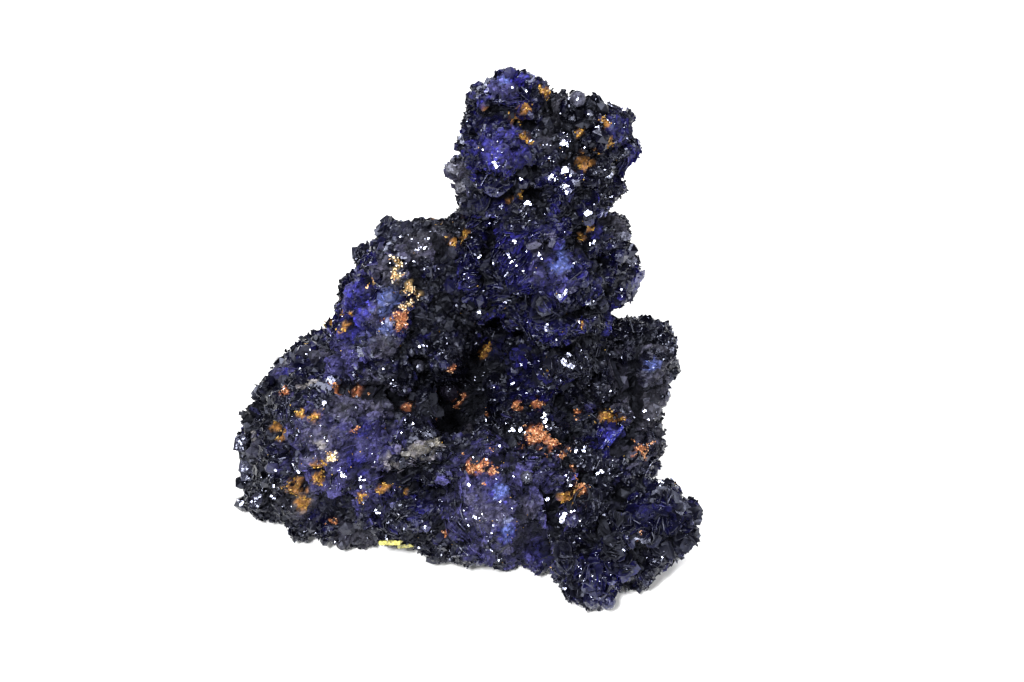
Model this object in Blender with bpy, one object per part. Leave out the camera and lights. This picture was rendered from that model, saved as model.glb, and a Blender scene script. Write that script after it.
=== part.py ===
"""Azurite specimen: one lump of bladed copper carbonate that grew as a single piece and stands on its own base.

Run with: blender --background --python part.py

X is to the right, Y is away from the front, Z is up, and the origin is under the middle of the specimen, at the
height of the surface that it rests on. Rounded lumps give the lobes, and one skin is drawn over all of them. The
skin is then pushed out into knobs and flat-faced crystals, blades are grown on it, and the base is cut flat.

The lists below give places and radii in millimetres.
"""

import math
import random

import bmesh
import bpy
import numpy as np
from mathutils import Matrix, Vector, noise
from mathutils.kdtree import KDTree

MM = 0.001

# Driving dimensions, in millimetres
SPECIMEN_WIDTH = 116.0
VOXEL = 1.0
LUMP_SUBDIVISIONS = 4
LUMP_ROUGHNESS = 0.16
LUMP_GRAIN = 1.6
BODY_TRIANGLES = 7250
KNOB_SPACING = 9.0
KNOB_HEIGHT = 1.6
KNOB_LIFT = 0.35
KNOB_CURVE = 1.5
CRYSTAL_SPACING = 5.6
CRYSTAL_REACH = 7.5
CRYSTAL_HEIGHT = 2.7
CREVICE_DEPTH = 1.4
STEEP_SIDES = (0.7, 1.7)
GENTLE_ENDS = (0.15, 0.6)
SMALLEST_CRYSTAL = 0.15
SAME_SIDE = 0.2
BLADE_LENGTH = 4.4
BLADE_WIDTH = 5.0
BLADE_THICKNESS = 1.5
BLADE_SUNK = 0.45
BLADE_GAP = 0.9
BLADE_SIZES = (0.75, 1.25)
BLADE_UNEVEN = (0.85, 1.15)
BLADE_LEAN = 0.45
BLADES_IN_A_SHEAF = (1, 2)
SHEAF_SPACING = 21.0
LOWEST_BLADE = 5.0
OVERHANG = -0.5
FAN_STEP = math.radians(13.0)
SEED = 24
AZURITE_BLUE = (0.012, 0.016, 0.08, 1.0)
AZURITE_ROUGHNESS = 0.3
AZURITE_IOR = 1.75

# Each lobe is a group of rounded lumps: centre, then radii, in millimetres
TOWER_HEAD = [
    ((14, 12, 103), (8, 7, 9)),
    ((9, 12, 99), (6, 6, 7)),
    ((30, 12, 101), (5, 5, 5)),
    ((36, 12, 95), (6, 7, 7)),
    ((7, 9, 91), (6, 6, 7)),
    ((11, 3, 95), (7, 5, 7)),
    ((22, 12, 89), (12, 11, 11)),
    ((32, 11, 86), (7, 8, 8)),
    ((20, 20, 91), (11, 8, 12)),
]
TOWER_NECK = [
    ((20, 9, 79), (14, 12, 12)),
    ((22, 19, 76), (13, 11, 14)),
    ((8, 9, 80), (6, 7, 8)),
]
TOWER_BALL = [
    ((22, 6, 63), (17, 15, 16)),
    ((33, 9, 62), (10, 10, 13)),
    ((27, 2, 54), (11, 10, 9)),
    ((9, 7, 64), (12, 11, 13)),
    ((20, 18, 56), (15, 13, 18)),
]
SHOULDER = [
    ((-10, 9, 65), (8, 8, 8)),
    ((-4, 9, 55), (14, 12, 14)),
    ((-7, 0, 46), (10, 9, 9)),
    ((-24, 1, 42), (8, 9, 11)),
    ((-13, 14, 45), (15, 12, 17)),
]
LEFT_MOUND = [
    ((-30, -12, 22), (20, 16, 19)),
    ((-43, 0, 25), (8, 9, 8)),
    ((-48, -7, 15), (8, 10, 11)),
    ((-47, -17, 9), (7, 8, 8)),
    ((-35, -20, 9), (11, 8, 10)),
    ((-35, 8, 16), (15, 15, 15)),
]
FRONT = [
    ((-12, -23, 14), (14, 12, 13)),
    ((9, -28, 15), (14, 12, 14)),
    ((-6, -24, 27), (11, 6, 6)),
    ((23, -24, 22), (13, 11, 12)),
    ((-25, -23, 6), (10, 8, 8)),
    ((-2, -28, 6), (12, 7, 7)),
    ((19, -32, 7), (10, 7, 7)),
]
LOW_ROSETTE = [
    ((34, -37, 13), (12, 10, 12)),
    ((48, -32, 14), (10, 10, 10)),
    ((43, -37, 9), (8, 7, 8)),
    ((33, -42, 7), (8, 7, 8)),
    ((38, -22, 18), (9, 9, 9)),
]
RIGHT_LOBE = [
    ((46, 6, 32), (10, 11, 11)),
    ((42, -5, 18), (10, 12, 12)),
    ((29, 0, 28), (12, 12, 12)),
    ((16, 6, 28), (12, 11, 13)),
    ((28, 2, 43), (10, 12, 8)),
]
CORE = [
    ((0, -2, 17), (40, 27, 19)),
    ((2, 14, 26), (32, 20, 26)),
]
BACK = [
    ((-31, 22, 12), (15, 14, 13)),
    ((-10, 30, 19), (16, 14, 19)),
    ((14, 30, 21), (17, 14, 21)),
    ((35, 22, 15), (15, 14, 16)),
    ((18, 25, 46), (14, 12, 16)),
    ((-12, 25, 41), (13, 10, 13)),
]
LUMPS = TOWER_HEAD + TOWER_NECK + TOWER_BALL + SHOULDER + LEFT_MOUND + FRONT + LOW_ROSETTE + RIGHT_LOBE + CORE + BACK
# The flat-faced buttress on the left shoulder: centre, half sizes, then lean and turn in degrees
BUTTRESS = ((-16, 1, 50), (9, 8, 18), (-20, -22))
SQUARENESS = 5.0
# Skin with crystals too small to stand out: centre and radius of each stretch, in millimetres
FINE_GRAINED = [
    ((-20, -6, 52), 17),
    ((-30, -25, 23), 22),
    ((11, -1, 97), 9),
    ((9, -38, 17), 15),
    ((24, -9, 66), 8),
]
FINE_RELIEF = 0.3
POCKETS = [((0, -7, 27), (9, 12, 10)), ((8, -2, 38), (6, 10, 7))]
# Broad flat faces, such as the front of the buttress: centre, outward direction, half width and half height
FLATS = [
    ((-21, -4, 52), (-0.4, -0.82, 0.41), 8.5, 15),
    ((-51, -12, 17), (-0.8, -0.5, 0.33), 7, 9),
    ((44, -14, 24), (0.3, -0.8, 0.52), 8, 9),
]
FLAT_REACH = 5.0
FLAT_RIM = 0.25


def clear_scene():
    for thing in list(bpy.data.objects):
        bpy.data.objects.remove(thing, do_unlink=True)


def new_object(name, mesh):
    thing = bpy.data.objects.new(name, mesh)
    bpy.context.scene.collection.objects.link(thing)
    return thing


def lump(bm, centre, radii):
    """Adds one rounded, slightly uneven lump."""
    made = bmesh.ops.create_icosphere(bm, subdivisions=LUMP_SUBDIVISIONS, radius=1.0)
    seed = Vector(centre) * 0.37
    for v in made["verts"]:
        swell = 1.0 + LUMP_ROUGHNESS * noise.fractal(v.co * LUMP_GRAIN + seed, 1.0, 2.0, 3)
        v.co = Vector(c + r * swell * n for c, r, n in zip(centre, radii, v.co)) * MM


def buttress(bm, centre, radii, angles):
    """Adds the block with rounded edges whose front leans back and turns to the left."""
    made = bmesh.ops.create_icosphere(bm, subdivisions=LUMP_SUBDIVISIONS, radius=1.0)
    lean, turn = (math.radians(a) for a in angles)
    place = Matrix.Translation(Vector(centre) * MM) @ Matrix.Rotation(turn, 4, "Z") @ Matrix.Rotation(lean, 4, "X")
    for v in made["verts"]:
        reach = sum(abs(c) ** SQUARENESS for c in v.co) ** (-1 / SQUARENESS)
        v.co = place @ Vector(r * reach * n * MM for r, n in zip(radii, v.co))


def lumps_object(name, lumps, block=None):
    bm = bmesh.new()
    for centre, radii in lumps:
        lump(bm, centre, radii)
    if block:
        buttress(bm, *block)
    mesh = bpy.data.meshes.new(name)
    bm.to_mesh(mesh)
    bm.free()
    return new_object(name, mesh)


def evaluated_mesh(thing):
    """The mesh of an object with its modifiers applied."""
    graph = bpy.context.evaluated_depsgraph_get()
    return bpy.data.meshes.new_from_object(thing.evaluated_get(graph), preserve_all_data_layers=False)


def arrays_of(mesh):
    """Places and outward directions of a mesh's points, as rows, in millimetres."""
    count = len(mesh.vertices)
    places = np.empty(count * 3)
    outward = np.empty(count * 3)
    mesh.vertices.foreach_get("co", places)
    mesh.vertices.foreach_get("normal", outward)
    return places.reshape(-1, 3) / MM, outward.reshape(-1, 3)


def spread_seeds(places, outward, spacing, dice):
    """Picks points of the skin in random order, keeping those at least that far from the ones already picked."""
    taken = {}
    seeds = []
    for i in dice.permutation(len(places)):
        cell = tuple((places[i] // spacing).astype(int))
        near = [
            j
            for dx in (-1, 0, 1)
            for dy in (-1, 0, 1)
            for dz in (-1, 0, 1)
            for j in taken.get((cell[0] + dx, cell[1] + dy, cell[2] + dz), ())
        ]
        if all(np.linalg.norm(places[i] - places[j]) >= spacing for j in near):
            taken.setdefault(cell, []).append(i)
            seeds.append(i)
    return places[seeds], outward[seeds]


def crystal_relief(places, outward, dice):
    """How far each point of the skin is pushed out, in millimetres, by roof-shaped crystals that crowd each other.

    Each crystal is a ridge with two steep flat sides and two gentler flat ends. Where several overlap, the
    highest shows, and between them the skin drops into crevices.
    """
    seeds, facing = spread_seeds(places, outward, CRYSTAL_SPACING, dice)
    tree = KDTree(len(places))
    for i, place in enumerate(places):
        tree.insert(place, i)
    tree.balance()
    relief = np.full(len(places), -CREVICE_DEPTH)
    for seed, up in zip(seeds, facing):
        ridge = np.cross(up, dice.normal(size=3))
        ridge /= np.linalg.norm(ridge)
        side = np.cross(up, ridge)
        steep = dice.uniform(*STEEP_SIDES, 2)
        gentle = dice.uniform(*GENTLE_ENDS, 2)
        top = CRYSTAL_HEIGHT * dice.uniform(SMALLEST_CRYSTAL, 1.0)
        near = [i for _, i, _ in tree.find_range(seed, CRYSTAL_REACH)]
        near = [i for i in near if outward[i] @ up > SAME_SIDE]
        offset = places[near] - seed
        sideways, lengthways = offset @ side, offset @ ridge
        fall = np.maximum(
            np.where(sideways > 0, steep[0], steep[1]) * np.abs(sideways),
            np.where(lengthways > 0, gentle[0], gentle[1]) * np.abs(lengthways),
        )
        relief[near] = np.maximum(relief[near], top - fall)
    return relief


def pressed_flat(places):
    """The places, with those on each flat's stretch of skin moved onto its plane."""
    for centre, facing, half_width, half_height in FLATS:
        facing = np.array(facing) / np.linalg.norm(facing)
        across = np.cross((0, 0, 1), facing)
        across /= np.linalg.norm(across)
        offset = places - centre
        above = offset @ facing
        far = np.hypot(offset @ across / half_width, offset @ np.cross(facing, across) / half_height)
        share = np.clip((1 + FLAT_RIM - far) / FLAT_RIM, 0, 1) * (np.abs(above) < FLAT_REACH)
        places = places - np.outer(share * above, facing)
    return places


def roughen(mesh):
    """Pushes the skin out into rounded knobs, and covers those with flat-faced crystals."""
    dice = np.random.default_rng(SEED)
    places, outward = arrays_of(mesh)
    places = pressed_flat(places)
    near = np.array([noise.voronoi(Vector(p) / KNOB_SPACING)[0][0] for p in places])
    relief = np.ones(len(places))
    for centre, radius in FINE_GRAINED:
        share = np.clip(np.linalg.norm(places - centre, axis=1) / radius, 0, 1)
        relief = np.minimum(relief, FINE_RELIEF + (1 - FINE_RELIEF) * share**3)
    push = KNOB_HEIGHT * (KNOB_LIFT - KNOB_CURVE * near * near) + relief * crystal_relief(places, outward, dice)
    mesh.vertices.foreach_set("co", ((places + outward * push[:, None]) * MM).ravel())
    mesh.update()


def voxel_skin(thing):
    """Rebuilds an object's mesh as one closed skin of even faces."""
    skin = thing.modifiers.new("one skin", "REMESH")
    skin.mode = "VOXEL"
    skin.voxel_size = VOXEL * MM
    name = thing.name
    mesh = evaluated_mesh(thing)
    bpy.data.objects.remove(thing)
    return new_object(name, mesh)


def body_object():
    """All lumps as one skin with the pocket cut in, covered in crystals and thinned to few faces."""
    body = lumps_object("lumps", LUMPS, BUTTRESS)
    body = voxel_skin(body)
    pocket = voxel_skin(lumps_object("pocket", POCKETS))
    hole = body.modifiers.new("pocket", "BOOLEAN")
    hole.operation = "DIFFERENCE"
    hole.object = pocket
    body = voxel_skin(body)
    bpy.data.objects.remove(pocket)
    roughen(body.data)
    body = voxel_skin(body)
    thin = body.modifiers.new("few faces", "DECIMATE")
    thin.ratio = BODY_TRIANGLES / (2.0 * len(body.data.polygons))
    thin.use_collapse_triangulate = True
    mesh = evaluated_mesh(body)
    bpy.data.objects.remove(body)
    return new_object("azurite_specimen", mesh)


def sheaf_places(mesh, spacing):
    """Spots on the skin at least that far apart, each with its outward direction; none under or close to the base."""
    faces = list(mesh.polygons)
    random.Random(SEED).shuffle(faces)
    spots = []
    for face in faces:
        spot = face.center.copy()
        if spot.z < LOWEST_BLADE * MM or face.normal.z < OVERHANG:
            continue
        if all((spot - other).length > spacing * MM for other, _ in spots):
            spots.append((spot, face.normal.copy()))
    return spots


def blade(bm, root, stand, turn, length, width, thickness):
    """Adds one flat crystal: a plate that rises along stand, with a slanted, pointed top, thinner at its edge."""
    along = stand.normalized()
    across = (turn - turn.dot(along) * along).normalized()
    flat = along.cross(across)
    outline = [(-0.42, -0.7, 1.0), (0.42, -0.7, 1.0), (0.5, 0.55, 0.7), (-0.12, 1.0, 0.35)]
    corners = []
    for side in (-0.5, 0.5):
        for out, up, thick in outline:
            place = root + across * (out * width) + along * (up * length) + flat * (side * thick * thickness)
            corners.append(bm.verts.new(place))
    front, back = corners[:4], corners[4:]
    bm.faces.new(reversed(front))
    bm.faces.new(back)
    for i in range(4):
        j = (i + 1) % 4
        bm.faces.new((front[i], front[j], back[j], back[i]))


def blades_collection(mesh):
    """A hidden collection with each blade as a closed object of its own, in sheaves that fan out of the skin."""
    dice = random.Random(SEED)
    hidden = bpy.data.collections.new("blades")
    bpy.context.scene.collection.children.link(hidden)
    for spot, outward in sheaf_places(mesh, SHEAF_SPACING):
        lean = Vector([dice.uniform(-1, 1) for _ in range(3)])
        stand = (outward + BLADE_LEAN * lean).normalized()
        turn = Vector([dice.uniform(-1, 1) for _ in range(3)])
        across = (turn - turn.dot(stand) * stand).normalized()
        size = dice.uniform(*BLADE_SIZES)
        blades = dice.choice(BLADES_IN_A_SHEAF)
        for i in range(blades):
            step = i - (blades - 1) / 2
            fan = Matrix.Rotation(FAN_STEP * step, 3, across)
            side = stand.cross(across) * (step * BLADE_THICKNESS * BLADE_GAP * MM)
            bm = bmesh.new()
            root = spot + side - stand * (BLADE_LENGTH * BLADE_SUNK * MM)
            long = BLADE_LENGTH * size * dice.uniform(*BLADE_UNEVEN) * MM
            blade(bm, root, fan @ stand, across, long, BLADE_WIDTH * size * MM, BLADE_THICKNESS * MM)
            mesh_of_blade = bpy.data.meshes.new("blade")
            bmesh.ops.recalc_face_normals(bm, faces=bm.faces)
            bm.to_mesh(mesh_of_blade)
            bm.free()
            thing = bpy.data.objects.new("blade", mesh_of_blade)
            thing.hide_render = True
            thing.display_type = "WIRE"
            hidden.objects.link(thing)
    return hidden


def grow_blades(body):
    join = body.modifiers.new("blades", "BOOLEAN")
    join.operation = "UNION"
    join.operand_type = "COLLECTION"
    join.collection = blades_collection(body.data)
    join.solver = "EXACT"


def cut_base(body):
    """Cuts off what lies below the resting surface, which leaves the flat patches that the specimen stands on."""
    bm = bmesh.new()
    size = 2 * SPECIMEN_WIDTH * MM
    bmesh.ops.create_cube(bm, size=size, matrix=Matrix.Translation((0, 0, -size / 2)))
    mesh = bpy.data.meshes.new("ground")
    bm.to_mesh(mesh)
    bm.free()
    ground = new_object("ground", mesh)
    ground.hide_render = True
    ground.display_type = "WIRE"
    cut = body.modifiers.new("base", "BOOLEAN")
    cut.operation = "DIFFERENCE"
    cut.object = ground
    cut.solver = "EXACT"


def keep_main_shell(mesh):
    """Leaves only the largest connected shell, so no bubble stays inside the solid and no chip beside it."""
    bm = bmesh.new()
    bm.from_mesh(mesh)
    waiting = set(bm.verts)
    shells = []
    while waiting:
        shell = {waiting.pop()}
        edge_of_shell = set(shell)
        while edge_of_shell:
            point = edge_of_shell.pop()
            for edge in point.link_edges:
                other = edge.other_vert(point)
                if other in waiting:
                    waiting.remove(other)
                    shell.add(other)
                    edge_of_shell.add(other)
        shells.append(shell)
    main = max(shells, key=len)
    bmesh.ops.delete(bm, geom=[point for point in bm.verts if point not in main], context="VERTS")
    bm.to_mesh(mesh)
    bm.free()


def settled(body):
    """The finished solid, moved sideways so that the origin is under the middle of it."""
    mesh = evaluated_mesh(body)
    keep_main_shell(mesh)
    places, _ = arrays_of(mesh)
    middle = (places.min(axis=0) + places.max(axis=0)) / 2 * MM
    mesh.transform(Matrix.Translation((-middle[0], -middle[1], 0)))
    mesh.update()
    bpy.data.objects.remove(body)
    print(f"origin moved by {middle[0] / MM:.2f}, {middle[1] / MM:.2f} mm")
    return new_object("azurite_specimen", mesh)


def azurite():
    """Near-black blue crystal with a glassy shine."""
    stone = bpy.data.materials.new("azurite")
    stone.use_nodes = True
    shader = stone.node_tree.nodes["Principled BSDF"]
    shader.inputs["Base Color"].default_value = AZURITE_BLUE
    shader.inputs["Roughness"].default_value = AZURITE_ROUGHNESS
    shader.inputs["Metallic"].default_value = 0.0
    shader.inputs["IOR"].default_value = AZURITE_IOR
    return stone


def build():
    clear_scene()
    body = body_object()
    grow_blades(body)
    cut_base(body)
    body = settled(body)
    body.data.materials.clear()
    body.data.materials.append(azurite())


build()
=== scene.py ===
# %% [markdown]
# # Azurite specimen
#
# A hand-sized cluster of azurite, a deep blue copper carbonate, grown as one piece. Its skin is crowded
# with near-black and navy bladed crystals, with velvety ultramarine patches, crumbly clay in the crevices,
# grey druse and glassy faces that mirror the lamps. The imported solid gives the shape, and this script adds
# the finish.

# %% Load the frame
import math

import bmesh
import bpy
import numpy as np
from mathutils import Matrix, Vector
from mathutils.bvhtree import BVHTree
from mathutils.kdtree import KDTree


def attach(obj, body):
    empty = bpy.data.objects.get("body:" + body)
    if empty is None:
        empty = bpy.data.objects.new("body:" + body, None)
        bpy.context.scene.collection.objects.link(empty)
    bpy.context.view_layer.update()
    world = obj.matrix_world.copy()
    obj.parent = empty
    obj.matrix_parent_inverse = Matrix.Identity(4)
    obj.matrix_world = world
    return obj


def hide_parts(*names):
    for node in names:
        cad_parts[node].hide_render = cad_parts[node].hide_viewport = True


MM = 0.001
NODE = "azurite_specimen"
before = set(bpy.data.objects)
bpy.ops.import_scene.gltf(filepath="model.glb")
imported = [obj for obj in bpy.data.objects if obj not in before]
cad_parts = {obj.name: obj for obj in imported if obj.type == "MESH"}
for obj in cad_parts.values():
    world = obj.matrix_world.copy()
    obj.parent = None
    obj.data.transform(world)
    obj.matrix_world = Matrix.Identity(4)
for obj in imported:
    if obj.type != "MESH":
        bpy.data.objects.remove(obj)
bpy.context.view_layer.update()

# %% [markdown]
# ## Camera
#
# The photograph looks down at the specimen by about 42 degrees, and its 10 mm scale gives the distance. The
# focal length is kept in pixels of a frame 1024 wide, so that a place in the photograph becomes a ray.

# %% Camera
FRAME_WIDE, FRAME_HIGH = 1024, 682
FOCAL_PIXELS = 1400.0
SENSOR_WIDE = 36.0
LOOKING_DOWN = math.radians(42.0)
CAMERA_PLACE = Vector((12.78, -252.45, 274.0)) * MM
NEAR_LIMIT = 0.01

camera_data = bpy.data.cameras.new("camera")
camera_data.sensor_width = SENSOR_WIDE
camera_data.lens = FOCAL_PIXELS / FRAME_WIDE * SENSOR_WIDE
camera_data.clip_start = NEAR_LIMIT
camera = bpy.data.objects.new("camera", camera_data)
camera.location = CAMERA_PLACE
camera.rotation_euler = (math.pi / 2 - LOOKING_DOWN, 0, 0)
bpy.context.scene.collection.objects.link(camera)
bpy.context.scene.camera = camera
camera_turn = camera.rotation_euler.to_matrix()
IMAGE_RIGHT = np.array(camera_turn @ Vector((1, 0, 0)))
IMAGE_UP = np.array(camera_turn @ Vector((0, 1, 0)))


def ray_through(pixel_x, pixel_y):
    """The direction from the camera through a place in the photograph."""
    across = pixel_x - FRAME_WIDE / 2
    up = FRAME_HIGH / 2 - pixel_y
    return (camera_turn @ Vector((across, up, -FOCAL_PIXELS))).normalized()


print("lens", round(camera_data.lens, 1), "mm")

# %% [markdown]
# ## Helpers
#
# Colours are written as sRGB hex values, the way a colour picker shows them. Blender works with linear
# light, so one function turns them over. Points and directions are kept as rows of three numbers. A smooth
# chance field is the sum of a few sine waves that run in chance directions.

# %% Helpers for colours, nodes and rows of points
WAVE_COUNT = 9
WAVES_PER_SIZE = 2.2
FIELD_RANGE = 3.2
USUAL_FIELD = 7
SHORTEST = 1e-9


def linear(hex_value):
    """An sRGB hex value such as #1C1A3C as linear red, green and blue."""
    channels = [int(hex_value[i : i + 2], 16) / 255 for i in (1, 3, 5)]
    return np.array([c / 12.92 if c <= 0.04045 else ((c + 0.055) / 1.055) ** 2.4 for c in channels])


def add_node(tree, kind, settings=(), **links):
    """Adds a node, sets its properties, and sets or links its inputs by name or, as i0, by number."""
    node = tree.nodes.new(kind)
    for key, value in dict(settings).items():
        setattr(node, key, value)
    for key, value in links.items():
        numbered = key[0] == "i" and key[1:].isdigit()
        socket = node.inputs[int(key[1:])] if numbered else node.inputs[key.replace("_", " ")]
        if isinstance(value, bpy.types.NodeSocket):
            tree.links.new(value, socket)
        else:
            socket.default_value = value
    return node


def rows(mesh, what):
    """A mesh's points or normals as rows of three numbers."""
    numbers = np.empty(len(mesh.vertices) * 3)
    mesh.vertices.foreach_get(what, numbers)
    return numbers.reshape(-1, 3)


def unit(vectors):
    """The same directions, each one long."""
    return vectors / np.maximum(np.linalg.norm(vectors, axis=-1, keepdims=True), SHORTEST)


def tree_of(points):
    """A tree that finds the point nearest to a place."""
    tree = KDTree(len(points))
    for i, point in enumerate(points):
        tree.insert(point, i)
    tree.balance()
    return tree


def nearest(points, seeds, count):
    """For each point, the numbers of its nearest seeds."""
    tree = tree_of(seeds)
    return np.array([[found[1] for found in tree.find_n(point, count)] for point in points])


def uneven(points, size, kind=USUAL_FIELD):
    """Smooth chance values of about -1 to 1 that change over the given size in millimetres."""
    chances = np.random.default_rng(kind)
    waves = chances.normal(size=(WAVE_COUNT, 3))
    turns = chances.uniform(0, 2 * np.pi, WAVE_COUNT)
    heights = np.sin(points @ waves.T * (WAVES_PER_SIZE / (size * MM)) + turns)
    return heights.sum(axis=1) / FIELD_RANGE


# %% [markdown]
# ## The matrix: one fine skin
#
# The solid has crystals a few millimetres wide. The real skin is finer, so the solid's mesh is rebuilt from
# small even faces before anything is pushed in or out of it.

# %% The matrix
SKIN_FACE = 0.8
SKIN_SMOOTHING = 0.5
SKIN_ROUNDS = 3
BASE_BAND = (0.3, 1.8)
dice = np.random.default_rng(1)


def fine_skin(node):
    """A copy of a node's mesh, rebuilt from even faces and smoothed a little."""
    thing = bpy.data.objects.new("matrix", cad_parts[node].data.copy())
    bpy.context.scene.collection.objects.link(thing)
    skin = thing.modifiers.new("even faces", "REMESH")
    skin.mode = "VOXEL"
    skin.voxel_size = SKIN_FACE * MM
    soft = thing.modifiers.new("soften", "SMOOTH")
    soft.factor = SKIN_SMOOTHING
    soft.iterations = SKIN_ROUNDS
    graph = bpy.context.evaluated_depsgraph_get()
    mesh = bpy.data.meshes.new_from_object(thing.evaluated_get(graph))
    bpy.data.objects.remove(thing)
    return mesh


def push_skin(distance):
    """Moves each point of the skin along its normal by a distance in millimetres, less near the base."""
    points = rows(skin_mesh, "co")
    above_base = np.clip((points[:, 2] / MM - BASE_BAND[0]) / (BASE_BAND[1] - BASE_BAND[0]), 0, 1)
    points = points + rows(skin_mesh, "normal") * (distance * above_base)[:, None] * MM
    points[:, 2] = np.maximum(points[:, 2], 0)
    skin_mesh.vertices.foreach_set("co", points.ravel())
    skin_mesh.update()
    return points, rows(skin_mesh, "normal")


def ray_tree(points):
    """A tree that finds where a ray meets the skin."""
    return BVHTree.FromPolygons(points.tolist(), [tuple(face.vertices) for face in skin_mesh.polygons])


skin_mesh = fine_skin(NODE)
skin_points, skin_normals = rows(skin_mesh, "co"), rows(skin_mesh, "normal")
skin_tree = ray_tree(skin_points)
area = sum(face.area for face in skin_mesh.polygons) / MM**2
print(f"skin: {len(skin_mesh.polygons)} faces, {area:.0f} square mm")


def seen_at(pixel_x, pixel_y):
    """The place on the skin and its outward direction, under a place in the photograph."""
    place, outward, _, _ = skin_tree.ray_cast(CAMERA_PLACE, ray_through(pixel_x, pixel_y))
    return place, outward


# %% [markdown]
# ## Crevices
#
# Crevices part the lobes. Each is a line of places in the photograph. Rays from the camera lay the line
# on the skin, and the skin is pressed in along it; the stone's colour is also darkened along it, as painted
# shade. The back gets crevices of the same kind, along curves where a smooth chance field changes sign.

# %% Crevices
CREVICES = {
    "head left": [(470, 135), (480, 118), (500, 112), (530, 122), (545, 100)],
    "head foot": [(475, 175), (490, 182), (510, 180), (535, 170)],
    "neck": [(470, 205), (500, 197), (530, 195), (545, 205)],
    "ball left": [(495, 225), (487, 250), (480, 275), (490, 310), (500, 335)],
    "ball foot": [(500, 335), (530, 350), (570, 348), (600, 338)],
    "ball seam": [(512, 300), (535, 312), (560, 318), (590, 312)],
    "ball right": [(575, 215), (585, 250), (600, 262), (612, 300)],
    "right gap": [(605, 340), (598, 365), (590, 395)],
    "hollow left": [(418, 362), (428, 380), (436, 392)],
    "shoulder foot": [(345, 385), (370, 392), (400, 400), (420, 415)],
    "mound foot": [(385, 478), (420, 470), (450, 458)],
    "left edge": [(262, 400), (272, 430), (262, 470), (268, 505), (290, 525)],
    "left knobs": [(245, 415), (262, 400), (275, 380), (300, 370)],
    "front left": [(395, 500), (420, 480), (440, 490)],
    "front right": [(555, 490), (552, 520), (548, 550), (565, 570)],
    "rosette top": [(585, 500), (620, 495), (650, 478)],
    "rosette": [(600, 520), (615, 550), (640, 565)],
    "patch": [(560, 400), (575, 430), (570, 460), (590, 480)],
    "right lobe": [(640, 350), (632, 380), (640, 410), (630, 440)],
    "shoulder": [(415, 265), (420, 300), (412, 335), (400, 360)],
    "shoulder left": [(440, 215), (455, 240)],
    "pit": [(313, 470), (319, 476)],
}
CREVICE_STEP = 3.0
CREVICE_HALF = 1.9
CREVICE_DEPTH = 2.4
HIDDEN_CREVICE_SIZE = 12.0
HIDDEN_CREVICE_WIDTH = 0.16
TURNED_BACK = 0.2


def crevice_places():
    """Places on the skin along all lines, CREVICE_STEP pixels apart."""
    places = []
    for line in CREVICES.values():
        for start, end in zip(line, line[1:]):
            steps = int(math.dist(start, end) / CREVICE_STEP) + 1
            for share in np.linspace(0, 1, steps):
                place, _ = seen_at(*(a + (b - a) * share for a, b in zip(start, end)))
                if place is not None:
                    places.append(place)
    return places


crevice_tree = tree_of(crevice_places())


def crevice_share(points, normals):
    """1 along the middle of a crevice, 0 outside all crevices."""
    far = np.array([crevice_tree.find(point)[2] for point in points]) / MM
    shown = 1 - (far / CREVICE_HALF) ** 2
    hidden = 1 - (uneven(points, HIDDEN_CREVICE_SIZE) / HIDDEN_CREVICE_WIDTH) ** 2
    return np.clip(np.maximum(shown, np.where(normals[:, 1] > TURNED_BACK, hidden, 0)), 0, 1)


in_crevice = crevice_share(skin_points, skin_normals)
skin_points, skin_normals = push_skin(-CREVICE_DEPTH * in_crevice)
print(f"crevices: {len(CREVICES)} lines, {in_crevice.astype(bool).mean():.0%} of the skin")

# %% [markdown]
# ## Knobs and crystals of the matrix
#
# Round knobs come first, then roof-shaped crystals in two sizes. They crowd each other, so the skin drops
# into sharp little valleys between them. How far a place stands out of the smoothed skin is kept as its
# openness, which is painted shade: the stone's colour is made darker where it lies deep and along crevices.

# %% Crowd the matrix with crystals
KNOB_RADIUS = (1.8, 4.2)
KNOB_COUNT = 1300
KNOB_RISE = 0.36
KNOB_INSET = 0.75
COARSE_CRYSTAL = 4.2
FINE_CRYSTAL = 1.6
CROWDING = 1.3
ROOF_INSET = 0.75
STEEP_SIDES = (0.5, 1.5)
GENTLE_ENDS = (0.1, 0.5)
ROOF_TOPS = (0.1, 0.5)
ROOF_LIMIT = 0.5
NEAREST_KNOBS, NEAREST_ROOFS = 3, 6
SMOOTH_FACTOR = 0.5
SMALL_ROUNDS, SMALL_BULGE = 40, 1.2
LARGE_ROUNDS, LARGE_BULGE = 300, 3.5
OPEN_LEVEL = 0.72
DEEPEST_SHADE = 0.18
CREVICE_SHADE = 0.3


def knobs(points):
    """Heights in millimetres of round knobs of chance sizes on the skin."""
    seeds = points[dice.choice(len(points), KNOB_COUNT, replace=False)]
    radii = dice.uniform(*KNOB_RADIUS, KNOB_COUNT)
    near = nearest(points, seeds, NEAREST_KNOBS)
    far = np.linalg.norm(points[:, None] - seeds[near], axis=2) / (radii[near] * MM)
    return (KNOB_RISE * radii[near] * np.sqrt(np.clip(1 - far**2, 0, 1))).max(axis=1)


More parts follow.
